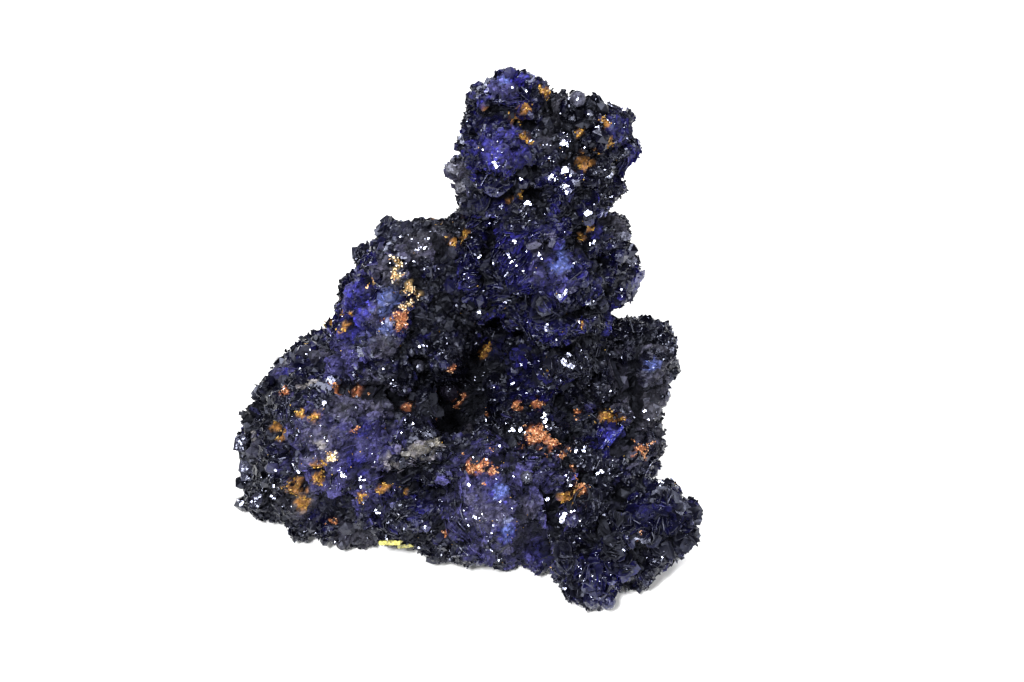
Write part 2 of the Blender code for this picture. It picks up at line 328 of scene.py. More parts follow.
def roofs(points, outward, width):
    """Heights in millimetres of flat-sided roofs of a width that crowd each other on the skin."""
    count = int(area / width**2 * CROWDING)
    picked = dice.choice(len(points), count, replace=False)
    seeds, up = points[picked], outward[picked]
    ridge = unit(np.cross(up, dice.normal(size=up.shape)))
    side = np.cross(up, ridge)
    steep = dice.uniform(*STEEP_SIDES, (count, 2))
    gentle = dice.uniform(*GENTLE_ENDS, (count, 2))
    tops = dice.uniform(*ROOF_TOPS, count)
    near = nearest(points, seeds, NEAREST_ROOFS)
    offset = (points[:, None] - seeds[near]) / (width * MM)
    sideways = np.einsum("nki,nki->nk", offset, side[near])
    lengthways = np.einsum("nki,nki->nk", offset, ridge[near])
    fall = np.maximum(
        np.where(sideways > 0, steep[near, 0], steep[near, 1]) * np.abs(sideways),
        np.where(lengthways > 0, gentle[near, 0], gentle[near, 1]) * np.abs(lengthways),
    )
    return width * np.clip((tops[near] - fall).max(axis=1), -ROOF_LIMIT, ROOF_LIMIT)


def bulge(rounds):
    """How far in millimetres each point stands out of the skin's own shape when that is smoothed."""
    thing = bpy.data.objects.new("smooth", skin_mesh.copy())
    bpy.context.scene.collection.objects.link(thing)
    soft = thing.modifiers.new("smooth", "SMOOTH")
    soft.factor = SMOOTH_FACTOR
    soft.iterations = rounds
    graph = bpy.context.evaluated_depsgraph_get()
    smooth = rows(thing.evaluated_get(graph).data, "co")
    bpy.data.objects.remove(thing)
    return ((rows(skin_mesh, "co") - smooth) * rows(skin_mesh, "normal")).sum(axis=1) / MM


skin_points, skin_normals = push_skin(knobs(skin_points) - KNOB_INSET)
knob_normals = skin_normals
# Painted shade: openness later darkens the stone's colour in deep places and along crevices.
openness = OPEN_LEVEL + bulge(SMALL_ROUNDS) / SMALL_BULGE + bulge(LARGE_ROUNDS) / LARGE_BULGE
openness = np.clip(openness, DEEPEST_SHADE, 1) * (1 - (1 - CREVICE_SHADE) * in_crevice)
relief = sum(roofs(skin_points, skin_normals, width) for width in (COARSE_CRYSTAL, FINE_CRYSTAL))
skin_points, skin_normals = push_skin(relief - ROOF_INSET)
skin_tree = ray_tree(skin_points)
print(f"relief: {relief.min():.1f} to {relief.max():.1f} mm, mean openness {openness.mean():.2f}")

# %% [markdown]
# ## Where each finish lies
#
# Each spot is named and gives a place in the photograph and a radius in millimetres. A ray from the camera
# finds the place on the skin, so a colour sits on the stone itself and looks right from every side. The
# sides that the photograph doesn't show get spots of the same kinds, scattered by chance.

# %% Spots
VELVET = {
    "head dome": (500, 147, 5.2),
    "head dome right": (520, 156, 3.2),
    "head dome low": (497, 163, 3.0),
    "crown": (515, 81, 2.6),
    "crown left": (482, 103, 1.8),
    "right block": (617, 131, 2.4),
    "ball bright": (557, 266, 3.8),
    "ball upper": (561, 249, 2.2),
    "ball lower": (548, 287, 2.8),
    "ball right": (601, 283, 1.6),
    "ball upper right": (598, 230, 2.6),
    "shoulder": (457, 272, 2.0),
    "buttress": (358, 300, 5.0),
    "buttress middle": (352, 325, 3.6),
    "mound": (353, 461, 3.6),
    "mound top": (364, 427, 2.6),
    "left edge strip": (269, 450, 1.6),
    "left knob": (285, 371, 1.6),
    "front": (499, 492, 3.6),
    "front low": (507, 534, 3.6),
    "front foot": (539, 552, 3.0),
    "blade group": (608, 438, 3.0),
    "hollow right": (535, 382, 1.4),
    "rosette": (619, 524, 1.2),
    "rosette low": (604, 572, 1.4),
    "right lobe": (652, 365, 1.8),
}
HAZE = {
    "crown": (505, 86, 3.8),
    "head dome": (502, 150, 5.0),
    "ball": (555, 266, 5.0),
    "buttress": (380, 318, 4.0),
    "buttress foot": (340, 354, 6.0),
    "front foot": (530, 546, 7.0),
    "mound": (352, 450, 12.0),
    "mound left": (318, 445, 9.0),
    "mound foot": (330, 490, 7.0),
    "front": (492, 500, 13.0),
    "front low": (520, 540, 8.0),
    "left knob": (285, 371, 4.0),
}
SKY_BLUE = {
    "crown": (504, 80, 1.3),
    "right block": (613, 124, 0.9),
    "ball": (560, 263, 2.3),
    "ball top": (561, 250, 1.4),
    "buttress": (390, 298, 2.2),
    "buttress middle": (384, 312, 1.8),
    "buttress foot": (386, 330, 1.8),
    "front": (501, 488, 2.2),
    "front low": (506, 531, 2.4),
    "right lobe": (652, 366, 1.7),
}
CHALKY = {
    "buttress": (387, 322, 1.0),
    "buttress foot": (388, 336, 1.3),
    "front": (506, 520, 1.2),
}
GLITTER = {
    "head dome": (495, 155, 4.0),
    "head foot": (522, 172, 3.0),
    "head": (560, 145, 4.0),
    "neck": (566, 188, 4.0),
    "neck left": (500, 222, 4.0),
    "ball left": (508, 250, 5.0),
    "ball foot": (585, 345, 4.0),
    "cluster": (420, 368, 2.6),
    "shoulder": (425, 250, 4.0),
    "hollow right": (500, 370, 6.0),
    "right lobe": (650, 410, 5.0),
    "upper seam": (577, 452, 3.0),
    "right": (602, 474, 4.0),
    "mound": (350, 475, 5.0),
    "front": (440, 505, 4.0),
    "front foot": (480, 530, 5.0),
    "rosette foot": (600, 570, 5.0),
}
GREY_DRUSE = {
    "mound": (321, 441, 5.5),
    "mound left": (259, 444, 2.6),
    "mound foot": (300, 500, 5.0),
    "mound crown": (345, 408, 4.5),
    "hollow left": (376, 400, 5.0),
    "front": (524, 512, 3.6),
    "right": (640, 400, 8.5),
    "right low": (625, 455, 4.5),
    "head": (556, 112, 3.2),
    "head right": (545, 138, 2.2),
    "neck plate": (460, 175, 3.0),
    "ball crown": (540, 242, 2.6),
    "shoulder": (425, 240, 5.0),
    "right lobe": (660, 420, 4.5),
    "foot": (360, 530, 5.0),
    "buttress low": (384, 342, 4.0),
    "buttress high": (388, 274, 4.0),
    "buttress middle": (372, 312, 3.0),
    "front middle": (492, 508, 7.0),
    "front low": (515, 535, 5.0),
    "right lobe high": (655, 382, 6.0),
}
PALE_DRUSE = {
    "ledge left": (392, 464, 2.4),
    "ledge": (405, 457, 2.2),
    "ledge middle": (418, 450, 2.2),
    "ledge right": (438, 443, 1.8),
    "ledge far": (428, 447, 2.0),
    "mound": (322, 443, 1.6),
    "mound foot": (300, 500, 2.2),
    "left edge": (255, 432, 1.6),
    "right lobe": (661, 410, 1.4),
}
BLOCKY = {
    "left edge": (240, 450, 9.0),
    "left edge low": (250, 500, 9.0),
    "left knobs": (265, 395, 7.0),
    "left knobs top": (290, 355, 6.0),
    "hollow wall": (415, 360, 8.0),
    "hollow wall low": (400, 395, 8.0),
    "dark wall": (450, 300, 9.0),
    "dark wall low": (440, 335, 7.0),
    "head right": (580, 130, 9.0),
    "head middle": (545, 150, 7.0),
    "right lobe": (650, 400, 6.5),
    "right edge": (625, 470, 6.0),
    "ball right": (612, 270, 7.0),
    "foot": (350, 535, 7.0),
}
ROSETTES = {
    "right": (668, 522, 9.0),
    "right left": (622, 524, 6.0),
    "middle": (618, 555, 6.5),
    "foot": (588, 582, 6.0),
    "foot left": (563, 560, 5.0),
    "seam": (585, 500, 4.0),
    "ball": (545, 305, 5.0),
    "head foot": (478, 195, 4.0),
    "hollow right": (545, 375, 5.0),
}
OCHRE_CLAY = {
    "crown": (541, 91, 1.4),
    "head": (524, 111, 1.7),
    "head left": (514, 116, 1.1),
    "head shelf": (485, 110, 1.0),
    "head middle": (524, 137, 1.1),
    "head cleft": (585, 162, 1.9),
    "head cleft right": (601, 146, 1.1),
    "block side": (611, 141, 0.9),
    "block top": (607, 122, 0.9),
    "head back": (580, 131, 0.9),
    "neck line": (511, 200, 1.1),
    "neck line right": (521, 198, 1.0),
    "shoulder": (466, 235, 1.5),
    "shoulder left": (452, 243, 1.3),
    "ball vein": (583, 233, 1.2),
    "ball vein right": (590, 228, 0.8),
    "ball foot": (581, 320, 0.8),
    "buttress spot": (346, 326, 0.9),
    "buttress spot low": (342, 330, 0.6),
    "buttress spot high": (350, 314, 0.6),
    "buttress spot left": (343, 313, 0.6),
    "buttress fleck": (392, 296, 0.6),
    "left notch": (301, 349, 1.1),
    "mound crown": (301, 413, 1.1),
    "mound crown right": (314, 417, 1.3),
    "mound left": (277, 427, 1.1),
    "pit rim high": (316, 466, 1.4),
    "pit rim low": (318, 478, 1.3),
    "mound speckle": (296, 490, 2.4),
    "mound speckle low": (302, 503, 1.7),
    "gully left": (362, 495, 1.0),
    "gully": (384, 486, 1.6),
    "gully middle": (394, 485, 1.0),
    "gully end": (406, 489, 0.7),
    "right shelf left": (604, 417, 1.3),
    "right shelf": (612, 418, 1.5),
    "right shelf end": (621, 418, 1.2),
    "front seam": (575, 491, 1.2),
    "front seam left": (563, 496, 1.3),
    "slit": (486, 347, 1.2),
    "slit low": (483, 355, 0.9),
}
CREAM_CLAY = {
    "band top": (398, 263, 1.1),
    "band top low": (394, 270, 0.9),
    "band high": (397, 277, 0.8),
    "band": (409, 286, 1.5),
    "band right": (414, 293, 1.4),
    "band middle": (406, 291, 1.3),
    "band low": (411, 301, 1.1),
    "band foot": (404, 307, 0.9),
    "buttress line": (368, 284, 0.6),
    "buttress line right": (375, 283, 0.6),
    "mound": (331, 457, 0.9),
}
ORANGE_CLAY = {
    "orange band": (404, 316, 1.3),
    "orange band low": (399, 323, 1.3),
    "orange band foot": (401, 330, 0.8),
    "orange band left": (383, 320, 0.8),
    "hollow rim left": (435, 395, 1.3),
    "hollow left": (408, 409, 1.0),
    "hollow rim top": (452, 370, 0.8),
    "knob rim": (464, 396, 0.7),
    "knob rim low": (457, 404, 1.0),
    "mound crown": (335, 391, 1.4),
    "mound crown right": (359, 392, 1.5),
    "mound top": (355, 429, 1.0),
    "twin left": (518, 406, 1.4),
    "twin right": (537, 407, 1.4),
    "patch top": (533, 431, 1.6),
    "patch": (540, 437, 3.0),
    "patch low": (553, 444, 2.2),
    "leaf": (470, 467, 1.7),
    "leaf middle": (480, 468, 2.1),
    "leaf end": (490, 471, 1.4),
    "trail": (564, 453, 1.0),
    "trail middle": (571, 466, 0.6),
    "trail low": (581, 487, 1.6),
    "rosette": (641, 535, 1.3),
    "right upper": (577, 413, 1.0),
    "foot": (332, 522, 0.9),
    "foot right": (447, 532, 0.9),
    "left knob": (284, 392, 1.0),
}
GLINTS = {
    "crown knob": (574, 97, 1.0),
    "head": (566, 144, 0.9),
    "head edge": (521, 173, 1.2),
    "head right": (567, 170, 1.0),
    "head low": (553, 178, 0.8),
    "head dome": (495, 165, 0.7),
    "block": (598, 130, 0.5),
    "cleft": (601, 150, 0.5),
    "neck": (569, 189, 1.1),
    "neck disc": (529, 203, 1.1),
    "neck right": (587, 214, 1.0),
    "neck left": (496, 221, 0.9),
    "ball left": (515, 241, 0.6),
    "ball top": (543, 248, 0.5),
    "ball top low": (541, 256, 0.5),
    "ball right": (592, 243, 0.8),
    "shoulder": (480, 257, 0.5),
    "shoulder left": (420, 248, 0.6),
    "ball foot": (506, 303, 0.4),
    "right gap": (605, 335, 1.0),
    "right gap end": (616, 337, 0.8),
    "hollow top": (480, 313, 0.5),
    "hollow left": (421, 346, 0.6),
    "hollow": (442, 351, 0.5),
    "hollow right": (512, 384, 0.5),
    "hollow far": (521, 364, 0.4),
    "below hollow": (481, 418, 0.9),
    "bar": (513, 431, 0.8),
    "bar end": (523, 430, 0.8),
    "patch side": (546, 423, 0.9),
    "right": (559, 393, 0.5),
    "right low": (561, 381, 0.4),
    "upper seam": (585, 447, 0.8),
    "upper seam left": (577, 452, 0.7),
    "seam": (569, 478, 0.9),
    "triangle": (565, 518, 1.7),
    "right druse": (602, 474, 1.0),
    "lobe": (646, 411, 0.7),
    "lobe plate": (662, 483, 0.9),
    "rosette bar": (626, 564, 0.9),
    "rosette low": (583, 579, 0.7),
    "foot": (546, 500, 0.6),
    "foot left": (441, 502, 0.5),
    "mound": (324, 403, 0.7),
    "mound left": (306, 351, 0.7),
    "mound low": (345, 475, 0.6),
    "mound low right": (362, 479, 0.6),
    "mound foot": (376, 510, 0.9),
    "left gap": (273, 498, 0.7),
}
NAVY = {
    "crown": (512, 88, 8.0),
    "head dome": (500, 150, 11.0),
    "right block": (616, 132, 4.5),
    "neck": (492, 190, 8.0),
    "neck right": (560, 195, 6.0),
    "ball": (545, 275, 15.0),
    "ball left": (505, 255, 9.0),
    "ball low": (540, 320, 9.0),
    "shoulder": (460, 270, 7.0),
    "buttress": (360, 310, 14.0),
    "buttress low": (342, 360, 9.0),
    "mound": (350, 450, 14.0),
    "mound low": (320, 500, 7.0),
    "left knobs": (283, 372, 6.0),
    "left edge": (262, 440, 4.5),
    "hollow right": (530, 380, 8.0),
    "front": (490, 505, 14.0),
    "front right": (540, 545, 8.0),
    "front seam": (430, 500, 7.0),
    "blade group": (608, 440, 7.0),
    "rosette": (655, 520, 8.0),
    "rosette low": (605, 575, 8.0),
    "right shelf": (640, 380, 5.0),
}
# The hollow's colour is darkened as painted shade, and its crystals take the duller velvet material.
HOLLOW = {
    "slit": (482, 350, 2.8),
    "middle": (475, 372, 4.4),
    "low": (466, 398, 5.2),
    "bottom": (454, 420, 5.2),
    "floor": (440, 418, 3.6),
    "rim": (430, 408, 3.2),
}
# Walls in shade: WALL_SHADE darkens their colour, as painted shade.
SHADED_WALLS = {
    "head right": (586, 130, 8.0),
    "head middle": (548, 140, 5.0),
    "left edge": (238, 450, 9.0),
    "left edge low": (250, 502, 9.0),
    "left edge middle": (264, 468, 7.0),
    "left edge foot": (285, 525, 5.0),
    "left knobs": (262, 396, 7.0),
    "left knobs top": (290, 352, 5.0),
    "below hollow": (500, 425, 6.0),
    "seam": (440, 490, 5.0),
    "rosette": (640, 540, 8.0),
}
TO_CAMERA = unit(np.array(CAMERA_PLACE) - skin_points)
FACING = (TO_CAMERA * skin_normals).sum(axis=1)
TURNED_AWAY = -0.15
LOWEST_SPOT = 6.0


def spots_on_skin(spots):
    """Centres, outward directions and radii, in metres, of the spots whose ray meets the skin."""
    found = [(seen_at(x, y), radius) for x, y, radius in spots.values()]
    found = [(place, outward, radius) for (place, outward), radius in found if place is not None]
    centres, outward, radii = zip(*found)
    return np.array(centres), np.array(outward), np.array(radii) * MM


def scattered(count, smallest, largest):
    """Spots by chance on the sides that the photograph doesn't show."""
    hidden = np.flatnonzero((FACING < TURNED_AWAY) & (skin_points[:, 2] > LOWEST_SPOT * MM))
    picked = dice.choice(hidden, count, replace=False)
    return skin_points[picked], skin_normals[picked], dice.uniform(smallest, largest, count) * MM


def spots_all_round(spots, count, smallest, largest):
    """The named spots, with others by chance on the sides that the photograph doesn't show."""
    shown, guessed = spots_on_skin(spots), scattered(count, smallest, largest)
    return [np.concatenate(pair) for pair in zip(shown, guessed)]


velvet = spots_all_round(VELVET, 16, 2.0, 5.0)
haze = spots_all_round(HAZE, 12, 4.0, 9.0)
sky = spots_all_round(SKY_BLUE, 6, 1.0, 2.5)
navy = spots_all_round(NAVY, 16, 6.0, 13.0)
chalky = spots_all_round(CHALKY, 3, 1.0, 2.5)
druse_grey = spots_all_round(GREY_DRUSE, 14, 2.5, 5.5)
pale_druse = spots_all_round(PALE_DRUSE, 3, 1.5, 2.5)
blocky = spots_all_round(BLOCKY, 16, 5.0, 9.0)
shaded_walls = spots_on_skin(SHADED_WALLS)
rosettes = spots_all_round(ROSETTES, 9, 4.0, 7.0)
ochre = spots_all_round(OCHRE_CLAY, 34, 0.8, 2.2)
orange = spots_all_round(ORANGE_CLAY, 18, 0.9, 2.2)
cream = spots_all_round(CREAM_CLAY, 4, 0.9, 1.8)
hollow = spots_on_skin(HOLLOW)
glitter = spots_all_round(GLITTER, 14, 3.0, 6.0)
glints = spots_on_skin(GLINTS)
print(f"{len(velvet[0])} velvet, {len(druse_grey[0])} grey, {len(ochre[0]) + len(orange[0])} clay spots")

# %% [markdown]
# ## The colours of the stone
#
# Azurite is so deep a blue that a thick crystal looks black. Where the crystals are finer, light gets back
# out and the stone turns navy, then velvety ultramarine. Each crystal takes one of four tones by chance, and
# the spots pull that tone towards blue, grey or a paler blue, the lighter crystals most. Shade is painted
# into the colour: it is darker in deep places, along crevices, on shaded walls and in the hollow, and the
# hollow takes the duller velvet material. The colour is stored on the points of each mesh.

# %% Stone colours
BLACK_TONES = ("#040409", "#080811", "#0E0E18", "#191A22")
NAVY_TONES = ("#050517", "#0A092A", "#110F3C", "#1D1C46")
TONE_SHARES = (0.36, 0.3, 0.22, 0.12)
ULTRAMARINE = "#1A155C"
BRIGHT_BLUE = "#302E88"
HAZE_BLUE = "#403D68"
SMOOTH_TONE = 0.45
TONE_SIZE = 3.0
BRIGHT_FROM = 0.6
VELVET_LIGHT = (0.4, 0.8)
SKY = "#55629E"
CHALKY_BLUE = "#7A7E9C"
DRUSE_GREY = "#44424A"
PALE_GREY = "#6E6A62"
OCHRE_STAIN = "#80582A"
ORANGE_STAIN = "#804A2E"
CREAM_STAIN = "#8E774C"
HOLLOW_SHADE = 0.12
WALL_SHADE = 0.48
RIM_START = 1.15
RIM_WIDE = 0.45
RIM_GRAIN = 1.3
ROUGH_LEAST, ROUGH_BY_CHANCE, ROUGH_SOFT, ROUGH_HOLLOW, ROUGH_DEEP = 0.12, 0.2, 0.3, 0.5, 0.4
ROUGH_RANGE = (0.08, 0.85)
VELVETY = 0.4
TOP_CHANCE = 0.999


def share_of(points, spots, ragged):
    """How far each point lies inside the spots: 1 in the middle, 0 outside, with a ragged rim."""
    centres, _, radii = spots
    far = (np.linalg.norm(points[:, None] - centres[None], axis=2) / radii[None]).min(axis=1)
    return np.clip((RIM_START - far + ragged * uneven(points, RIM_GRAIN)) / RIM_WIDE, 0, 1)


def mixed(colours, other, amount):
    return colours + (other - colours) * amount[:, None]


def tones_of(shades):
    return np.array([linear(shade) for shade in shades])


# Each finish has its colour, its spots, how ragged their rim is, how much it covers, how much more it covers
# the lightest crystals, and whether it is soft. Velvety stone has a blue of its own for each crystal.
LAYERS = (
    (HAZE_BLUE, haze, 0.5, 0.15, 0.6, True),
    (DRUSE_GREY, druse_grey, 0.6, 0.15, 0.6, True),
    (PALE_GREY, pale_druse, 0.8, 0.1, 0.8, False),
    (None, velvet, 0.4, 0.15, 0.7, True),
    (SKY, sky, 0.5, 0.3, 0.7, False),
    (CHALKY_BLUE, chalky, 0.7, 0.2, 0.8, False),
)
NAVY_RAGGED, HOLLOW_RAGGED, WALL_RAGGED = 0.6, 0.3, 0.5


def velvet_blue(chance):
    """The blue of velvety stone, brighter for the lighter crystals."""
    light = (VELVET_LIGHT[0] + VELVET_LIGHT[1] * chance)[:, None]
    return np.where(chance[:, None] < BRIGHT_FROM, linear(ULTRAMARINE), linear(BRIGHT_BLUE)) * light


def stone_colours(picks, chance):
    """Linear colours with painted shade, roughness, and whether it takes the velvet material (velvet stone
    or the hollow), for crystals at points of the skin.
    """
    points = skin_points[picks]
    smooth_chance = np.clip(0.5 + 0.5 * uneven(points, TONE_SIZE), 0, 1)
    chance = np.clip(SMOOTH_TONE * smooth_chance + (1 - SMOOTH_TONE) * chance, 0, TOP_CHANCE)
    tone = np.digitize(chance, np.cumsum(TONE_SHARES)[:-1])
    in_navy = share_of(points, navy, NAVY_RAGGED)
    colours = mixed(tones_of(BLACK_TONES)[tone], tones_of(NAVY_TONES)[tone], in_navy)
    soft = np.zeros(len(picks))
    for shade, spots, ragged, least, more, is_soft in LAYERS:
        inside = share_of(points, spots, ragged)
        other = linear(shade) if shade else velvet_blue(chance)
        colours = mixed(colours, other, inside * (least + more * chance))
        soft = np.maximum(soft, inside * is_soft)
    # Painted shade: the colour is darkened in the hollow, on shaded walls, in deep places and along
    # crevices.
    in_hollow = share_of(points, hollow, HOLLOW_RAGGED)
    walls = 1 - (1 - WALL_SHADE) * share_of(points, shaded_walls, WALL_RAGGED)
    colours = colours * (openness[picks] * walls * (1 - (1 - HOLLOW_SHADE) * in_hollow))[:, None]
    rough = ROUGH_LEAST + ROUGH_BY_CHANCE * chance + ROUGH_SOFT * soft + ROUGH_HOLLOW * in_hollow
    rough = rough + ROUGH_DEEP * (1 - openness[picks])
    return colours, np.clip(rough, *ROUGH_RANGE), np.maximum(soft, in_hollow) > VELVETY


def paint(mesh, colours, rough):
    """Stores a colour and a roughness on each point of a mesh."""
    # The colour stored here includes painted shade and painted highlights.
    colour_and_painted_light = mesh.color_attributes.new("colour_and_painted_light", "FLOAT_COLOR", "POINT")
    colour_and_painted_light.data.foreach_set("color", np.column_stack([colours, np.ones(len(colours))]).ravel())
    dull = mesh.attributes.new("dull", "FLOAT", "POINT")
    dull.data.foreach_set("value", rough)


# %% [markdown]
# ## Azurite
#
# Azurite is a glassy carbonate with an index of refraction of 1.73 to 1.84, high for a mineral, which gives
# the facets their steely sheen. The colour comes from the points. A fine noise breaks it up, and cells about
# half a millimetre wide are lighter or darker and tilt the surface a little each its own way, as the
# smallest facets do. Cleavage faces mirror most, then the glassy blades, then druse, and velvety stone
# least.

# %% Azurite material
FACET = 0.5
DRUSE_TILT = 0.5
BLADE_TILT = 0.16
CLEAVAGE_TILT = 0.13
VELVET_TILT = 0.3
CLEAVAGE_SHINE, GLASSY_SHINE, DRUSE_SHINE, VELVET_SHINE = 0.6, 0.28, 0.14, 0.1
SPECKLE = (0.45, 1.5)
SPECKLE_ENDS = (0.2, 0.8)
CLOUD = 1.6
CLOUD_DETAIL = 4.0
CLOUD_ENDS = (0.3, 0.7)
CLOUD_RANGE = (0.5, 1.55)
NO_TILT = (0.5, 0.5, 0.5)
AZURITE_IOR = 1.78
BLUE_SHEEN = (0.72, 0.76, 1.0, 1.0)


def new_material(name):
    material = bpy.data.materials.new(name)
    material.use_nodes = True
    material.node_tree.nodes.clear()
    return material, material.node_tree


def mapped(tree, value, from_ends, to_ends):
    """A value moved from one range to another."""
    ends = {"From_Min": from_ends[0], "From_Max": from_ends[1], "To_Min": to_ends[0], "To_Max": to_ends[1]}
    return add_node(tree, "ShaderNodeMapRange", Value=value, **ends).outputs["Result"]


def clouded_colour(tree, size, detail, shades):
    """The colour from the points, made lighter and darker by a noise of a size in millimetres."""
    colour_and_painted_light = add_node(tree, "ShaderNodeAttribute", {"attribute_name": "colour_and_painted_light"})
    place = add_node(tree, "ShaderNodeTexCoord").outputs["Object"]
    cloud = add_node(tree, "ShaderNodeTexNoise", Vector=place, Scale=1 / (size * MM), Detail=detail)
    lighter = mapped(tree, cloud.outputs["Fac"], CLOUD_ENDS, shades)
    multiply = {"operation": "MULTIPLY"}
    shade = add_node(tree, "ShaderNodeVectorMath", multiply, i0=colour_and_painted_light.outputs["Color"], i1=lighter)
    return shade.outputs[0], cloud.outputs["Fac"], place


def azurite(name, facet_tilt, shine):
    """Stone whose surface is broken into small cells, each tilted its own way by up to facet_tilt."""
    material, tree = new_material(name)
    shade, _, place = clouded_colour(tree, CLOUD, CLOUD_DETAIL, CLOUD_RANGE)
    dull = add_node(tree, "ShaderNodeAttribute", {"attribute_name": "dull"})
    cells = add_node(tree, "ShaderNodeTexVoronoi", Vector=place, Scale=1 / (FACET * MM)).outputs["Color"]
    speck = mapped(tree, cells, SPECKLE_ENDS, SPECKLE)
    shade = add_node(tree, "ShaderNodeVectorMath", {"operation": "MULTIPLY"}, i0=shade, i1=speck).outputs[0]
    lean = add_node(tree, "ShaderNodeVectorMath", {"operation": "SUBTRACT"}, i0=cells, i1=NO_TILT)
    straight = add_node(tree, "ShaderNodeNewGeometry").outputs["Normal"]
    tilt, add_up = (facet_tilt,) * 3, {"operation": "MULTIPLY_ADD"}
    tilted = add_node(tree, "ShaderNodeVectorMath", add_up, i0=lean.outputs[0], i1=tilt, i2=straight)
    facing = add_node(tree, "ShaderNodeVectorMath", {"operation": "NORMALIZE"}, i0=tilted.outputs[0])
    shader = add_node(
        tree,
        "ShaderNodeBsdfPrincipled",
        Base_Color=shade,
        Roughness=dull.outputs["Fac"],
        Normal=facing.outputs[0],
        IOR=AZURITE_IOR,
        Specular_IOR_Level=shine,
        Specular_Tint=BLUE_SHEEN,
    )
    add_node(tree, "ShaderNodeOutputMaterial", Surface=shader.outputs[0])
    return material


druse_stone = azurite("azurite druse", DRUSE_TILT, DRUSE_SHINE)
blade_stone = azurite("azurite blades", BLADE_TILT, GLASSY_SHINE)
velvet_stone = azurite("azurite velvet", VELVET_TILT, VELVET_SHINE)
print("stone:", ", ".join(stone.name for stone in (druse_stone, blade_stone, velvet_stone)))

# %% Finish the matrix
STAIN_RAGGED = 0.5

matrix = bpy.data.objects.new("azurite_matrix", skin_mesh)
bpy.context.scene.collection.objects.link(matrix)
skin_mesh.shade_flat()
skin_chance = dice.random(len(skin_points))
skin_colours, skin_rough, _ = stone_colours(np.arange(len(skin_points)), skin_chance)
for clay_spots, hex_value in ((ochre, OCHRE_STAIN), (orange, ORANGE_STAIN), (cream, CREAM_STAIN)):
    stained = share_of(skin_points, clay_spots, STAIN_RAGGED)
    skin_colours = mixed(skin_colours, linear(hex_value), stained)
paint(skin_mesh, skin_colours, skin_rough)
skin_mesh.materials.clear()
skin_mesh.materials.append(druse_stone)
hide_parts(NODE)
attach(matrix, "root")
print(f"azurite_matrix: {len(skin_mesh.polygons)} faces")

# %% [markdown]
# ## Many small crystals as joined meshes
#
# Thousands of crystals are copies of a few forms. Each copy has a place, three sizes and its own directions,
# so numpy can turn and move all copies at once. They are stored as a few large meshes.

# %% Crystal forms and the heap they go into
ROOT = -0.3
# Painted highlight: the share by which the upper ends of blades are made lighter.
TIP_HIGHLIGHT = 0.9
PETAL_FOOT, FOOT_WIDE = -0.6, 0.85


def plate_form(outline, tip):
    """A closed flat blade, at full thickness at its root and thinner above. Points, then triangles."""
    count = len(outline)
    thick = [1.0 if up < ROOT else tip for _, up in outline]
    points = [(x, y, 0.5 * t * side) for side in (1, -1) for (x, y), t in zip(outline, thick)]
    faces = [(0, i, i + 1) for i in range(1, count - 1)]
    faces += [(count, count + i + 1, count + i) for i in range(1, count - 1)]
    for i in range(count):
        j = (i + 1) % count
        faces += [(j, i, count + i), (j, count + i, count + j)]
    return np.array(points), np.array(faces)


def petal_form(tops, tip, bend):
    """A closed blade from the heights of its upper edge, bent along its width by a few thicknesses."""
    across = np.linspace(-0.5, 0.5, len(tops))
    points, faces, columns = [], [], len(tops)
    for side in (1, -1):
        for x, top in zip(across, tops):
            bent = -bend * (2 * x) ** 2
            points.append((x * FOOT_WIDE, PETAL_FOOT, bent + 0.5 * side))
            points.append((x, top, bent + 0.5 * side * tip))
    back = 2 * columns
    for i in range(0, back - 2, 2):
        a, b, c, d = i, i + 1, i + 2, i + 3
        faces += [(a, c, d), (a, d, b), (b, d, back + d), (b, back + d, back + b)]
        faces += [(back + a, back + d, back + c), (back + a, back + b, back + d)]
        faces += [(a, back + c, c), (a, back + a, back + c)]
    for a, b in ((0, 1), (back - 1, back - 2)):
        faces += [(a, b, back + b), (a, back + b, back + a)]
    return np.array(points), np.array(faces)


def ball_form(subdivisions):
    """A round form with flat faces. Points, then triangles."""
    bm = bmesh.new()
    bmesh.ops.create_icosphere(bm, subdivisions=subdivisions, radius=0.5)
    form = np.array([v.co[:] for v in bm.verts]), np.array([[v.index for v in f.verts] for f in bm.faces])
    bm.free()
    return form


PLATES = [
    plate_form([(-0.42, -0.6), (0.42, -0.6), (0.5, 0.2), (0.1, 0.58), (-0.5, 0.25)], 0.5),
    plate_form([(-0.4, -0.6), (0.4, -0.6), (0.5, 0.42), (-0.3, 0.6), (-0.5, 0.3)], 0.45),
    plate_form([(-0.38, -0.6), (0.38, -0.6), (0.5, 0.15), (0.22, 0.52), (-0.25, 0.58), (-0.5, 0.1)], 0.5),
    plate_form([(-0.45, -0.6), (0.45, -0.6), (0.5, 0.48), (-0.47, 0.58)], 0.6),
]
MIRROR_OUTLINE = [(-0.4, -0.5), (0.35, -0.45), (0.5, 0.1), (0.2, 0.5), (-0.3, 0.42), (-0.5, 0.0)]
MIRROR = plate_form(MIRROR_OUTLINE, 1.0)
GRAIN = (
    np.array(
        [
            (-0.5, -0.5, -0.4),
            (0.5, -0.5, -0.4),
            (0.5, -0.5, 0.4),
            (-0.5, -0.5, 0.4),
            (-0.3, 0.5, 0.0),
            (0.25, 0.42, 0.05),
        ]
    ),
    np.array([(0, 1, 2), (0, 2, 3), (0, 4, 5), (0, 5, 1), (3, 2, 5), (3, 5, 4), (0, 3, 4), (1, 5, 2)]),
)
CRUMB = ball_form(1)
BALL = ball_form(2)
print("triangles in a plate, a grain, a crumb:", [len(form[1]) for form in (PLATES[0], GRAIN, CRUMB)])


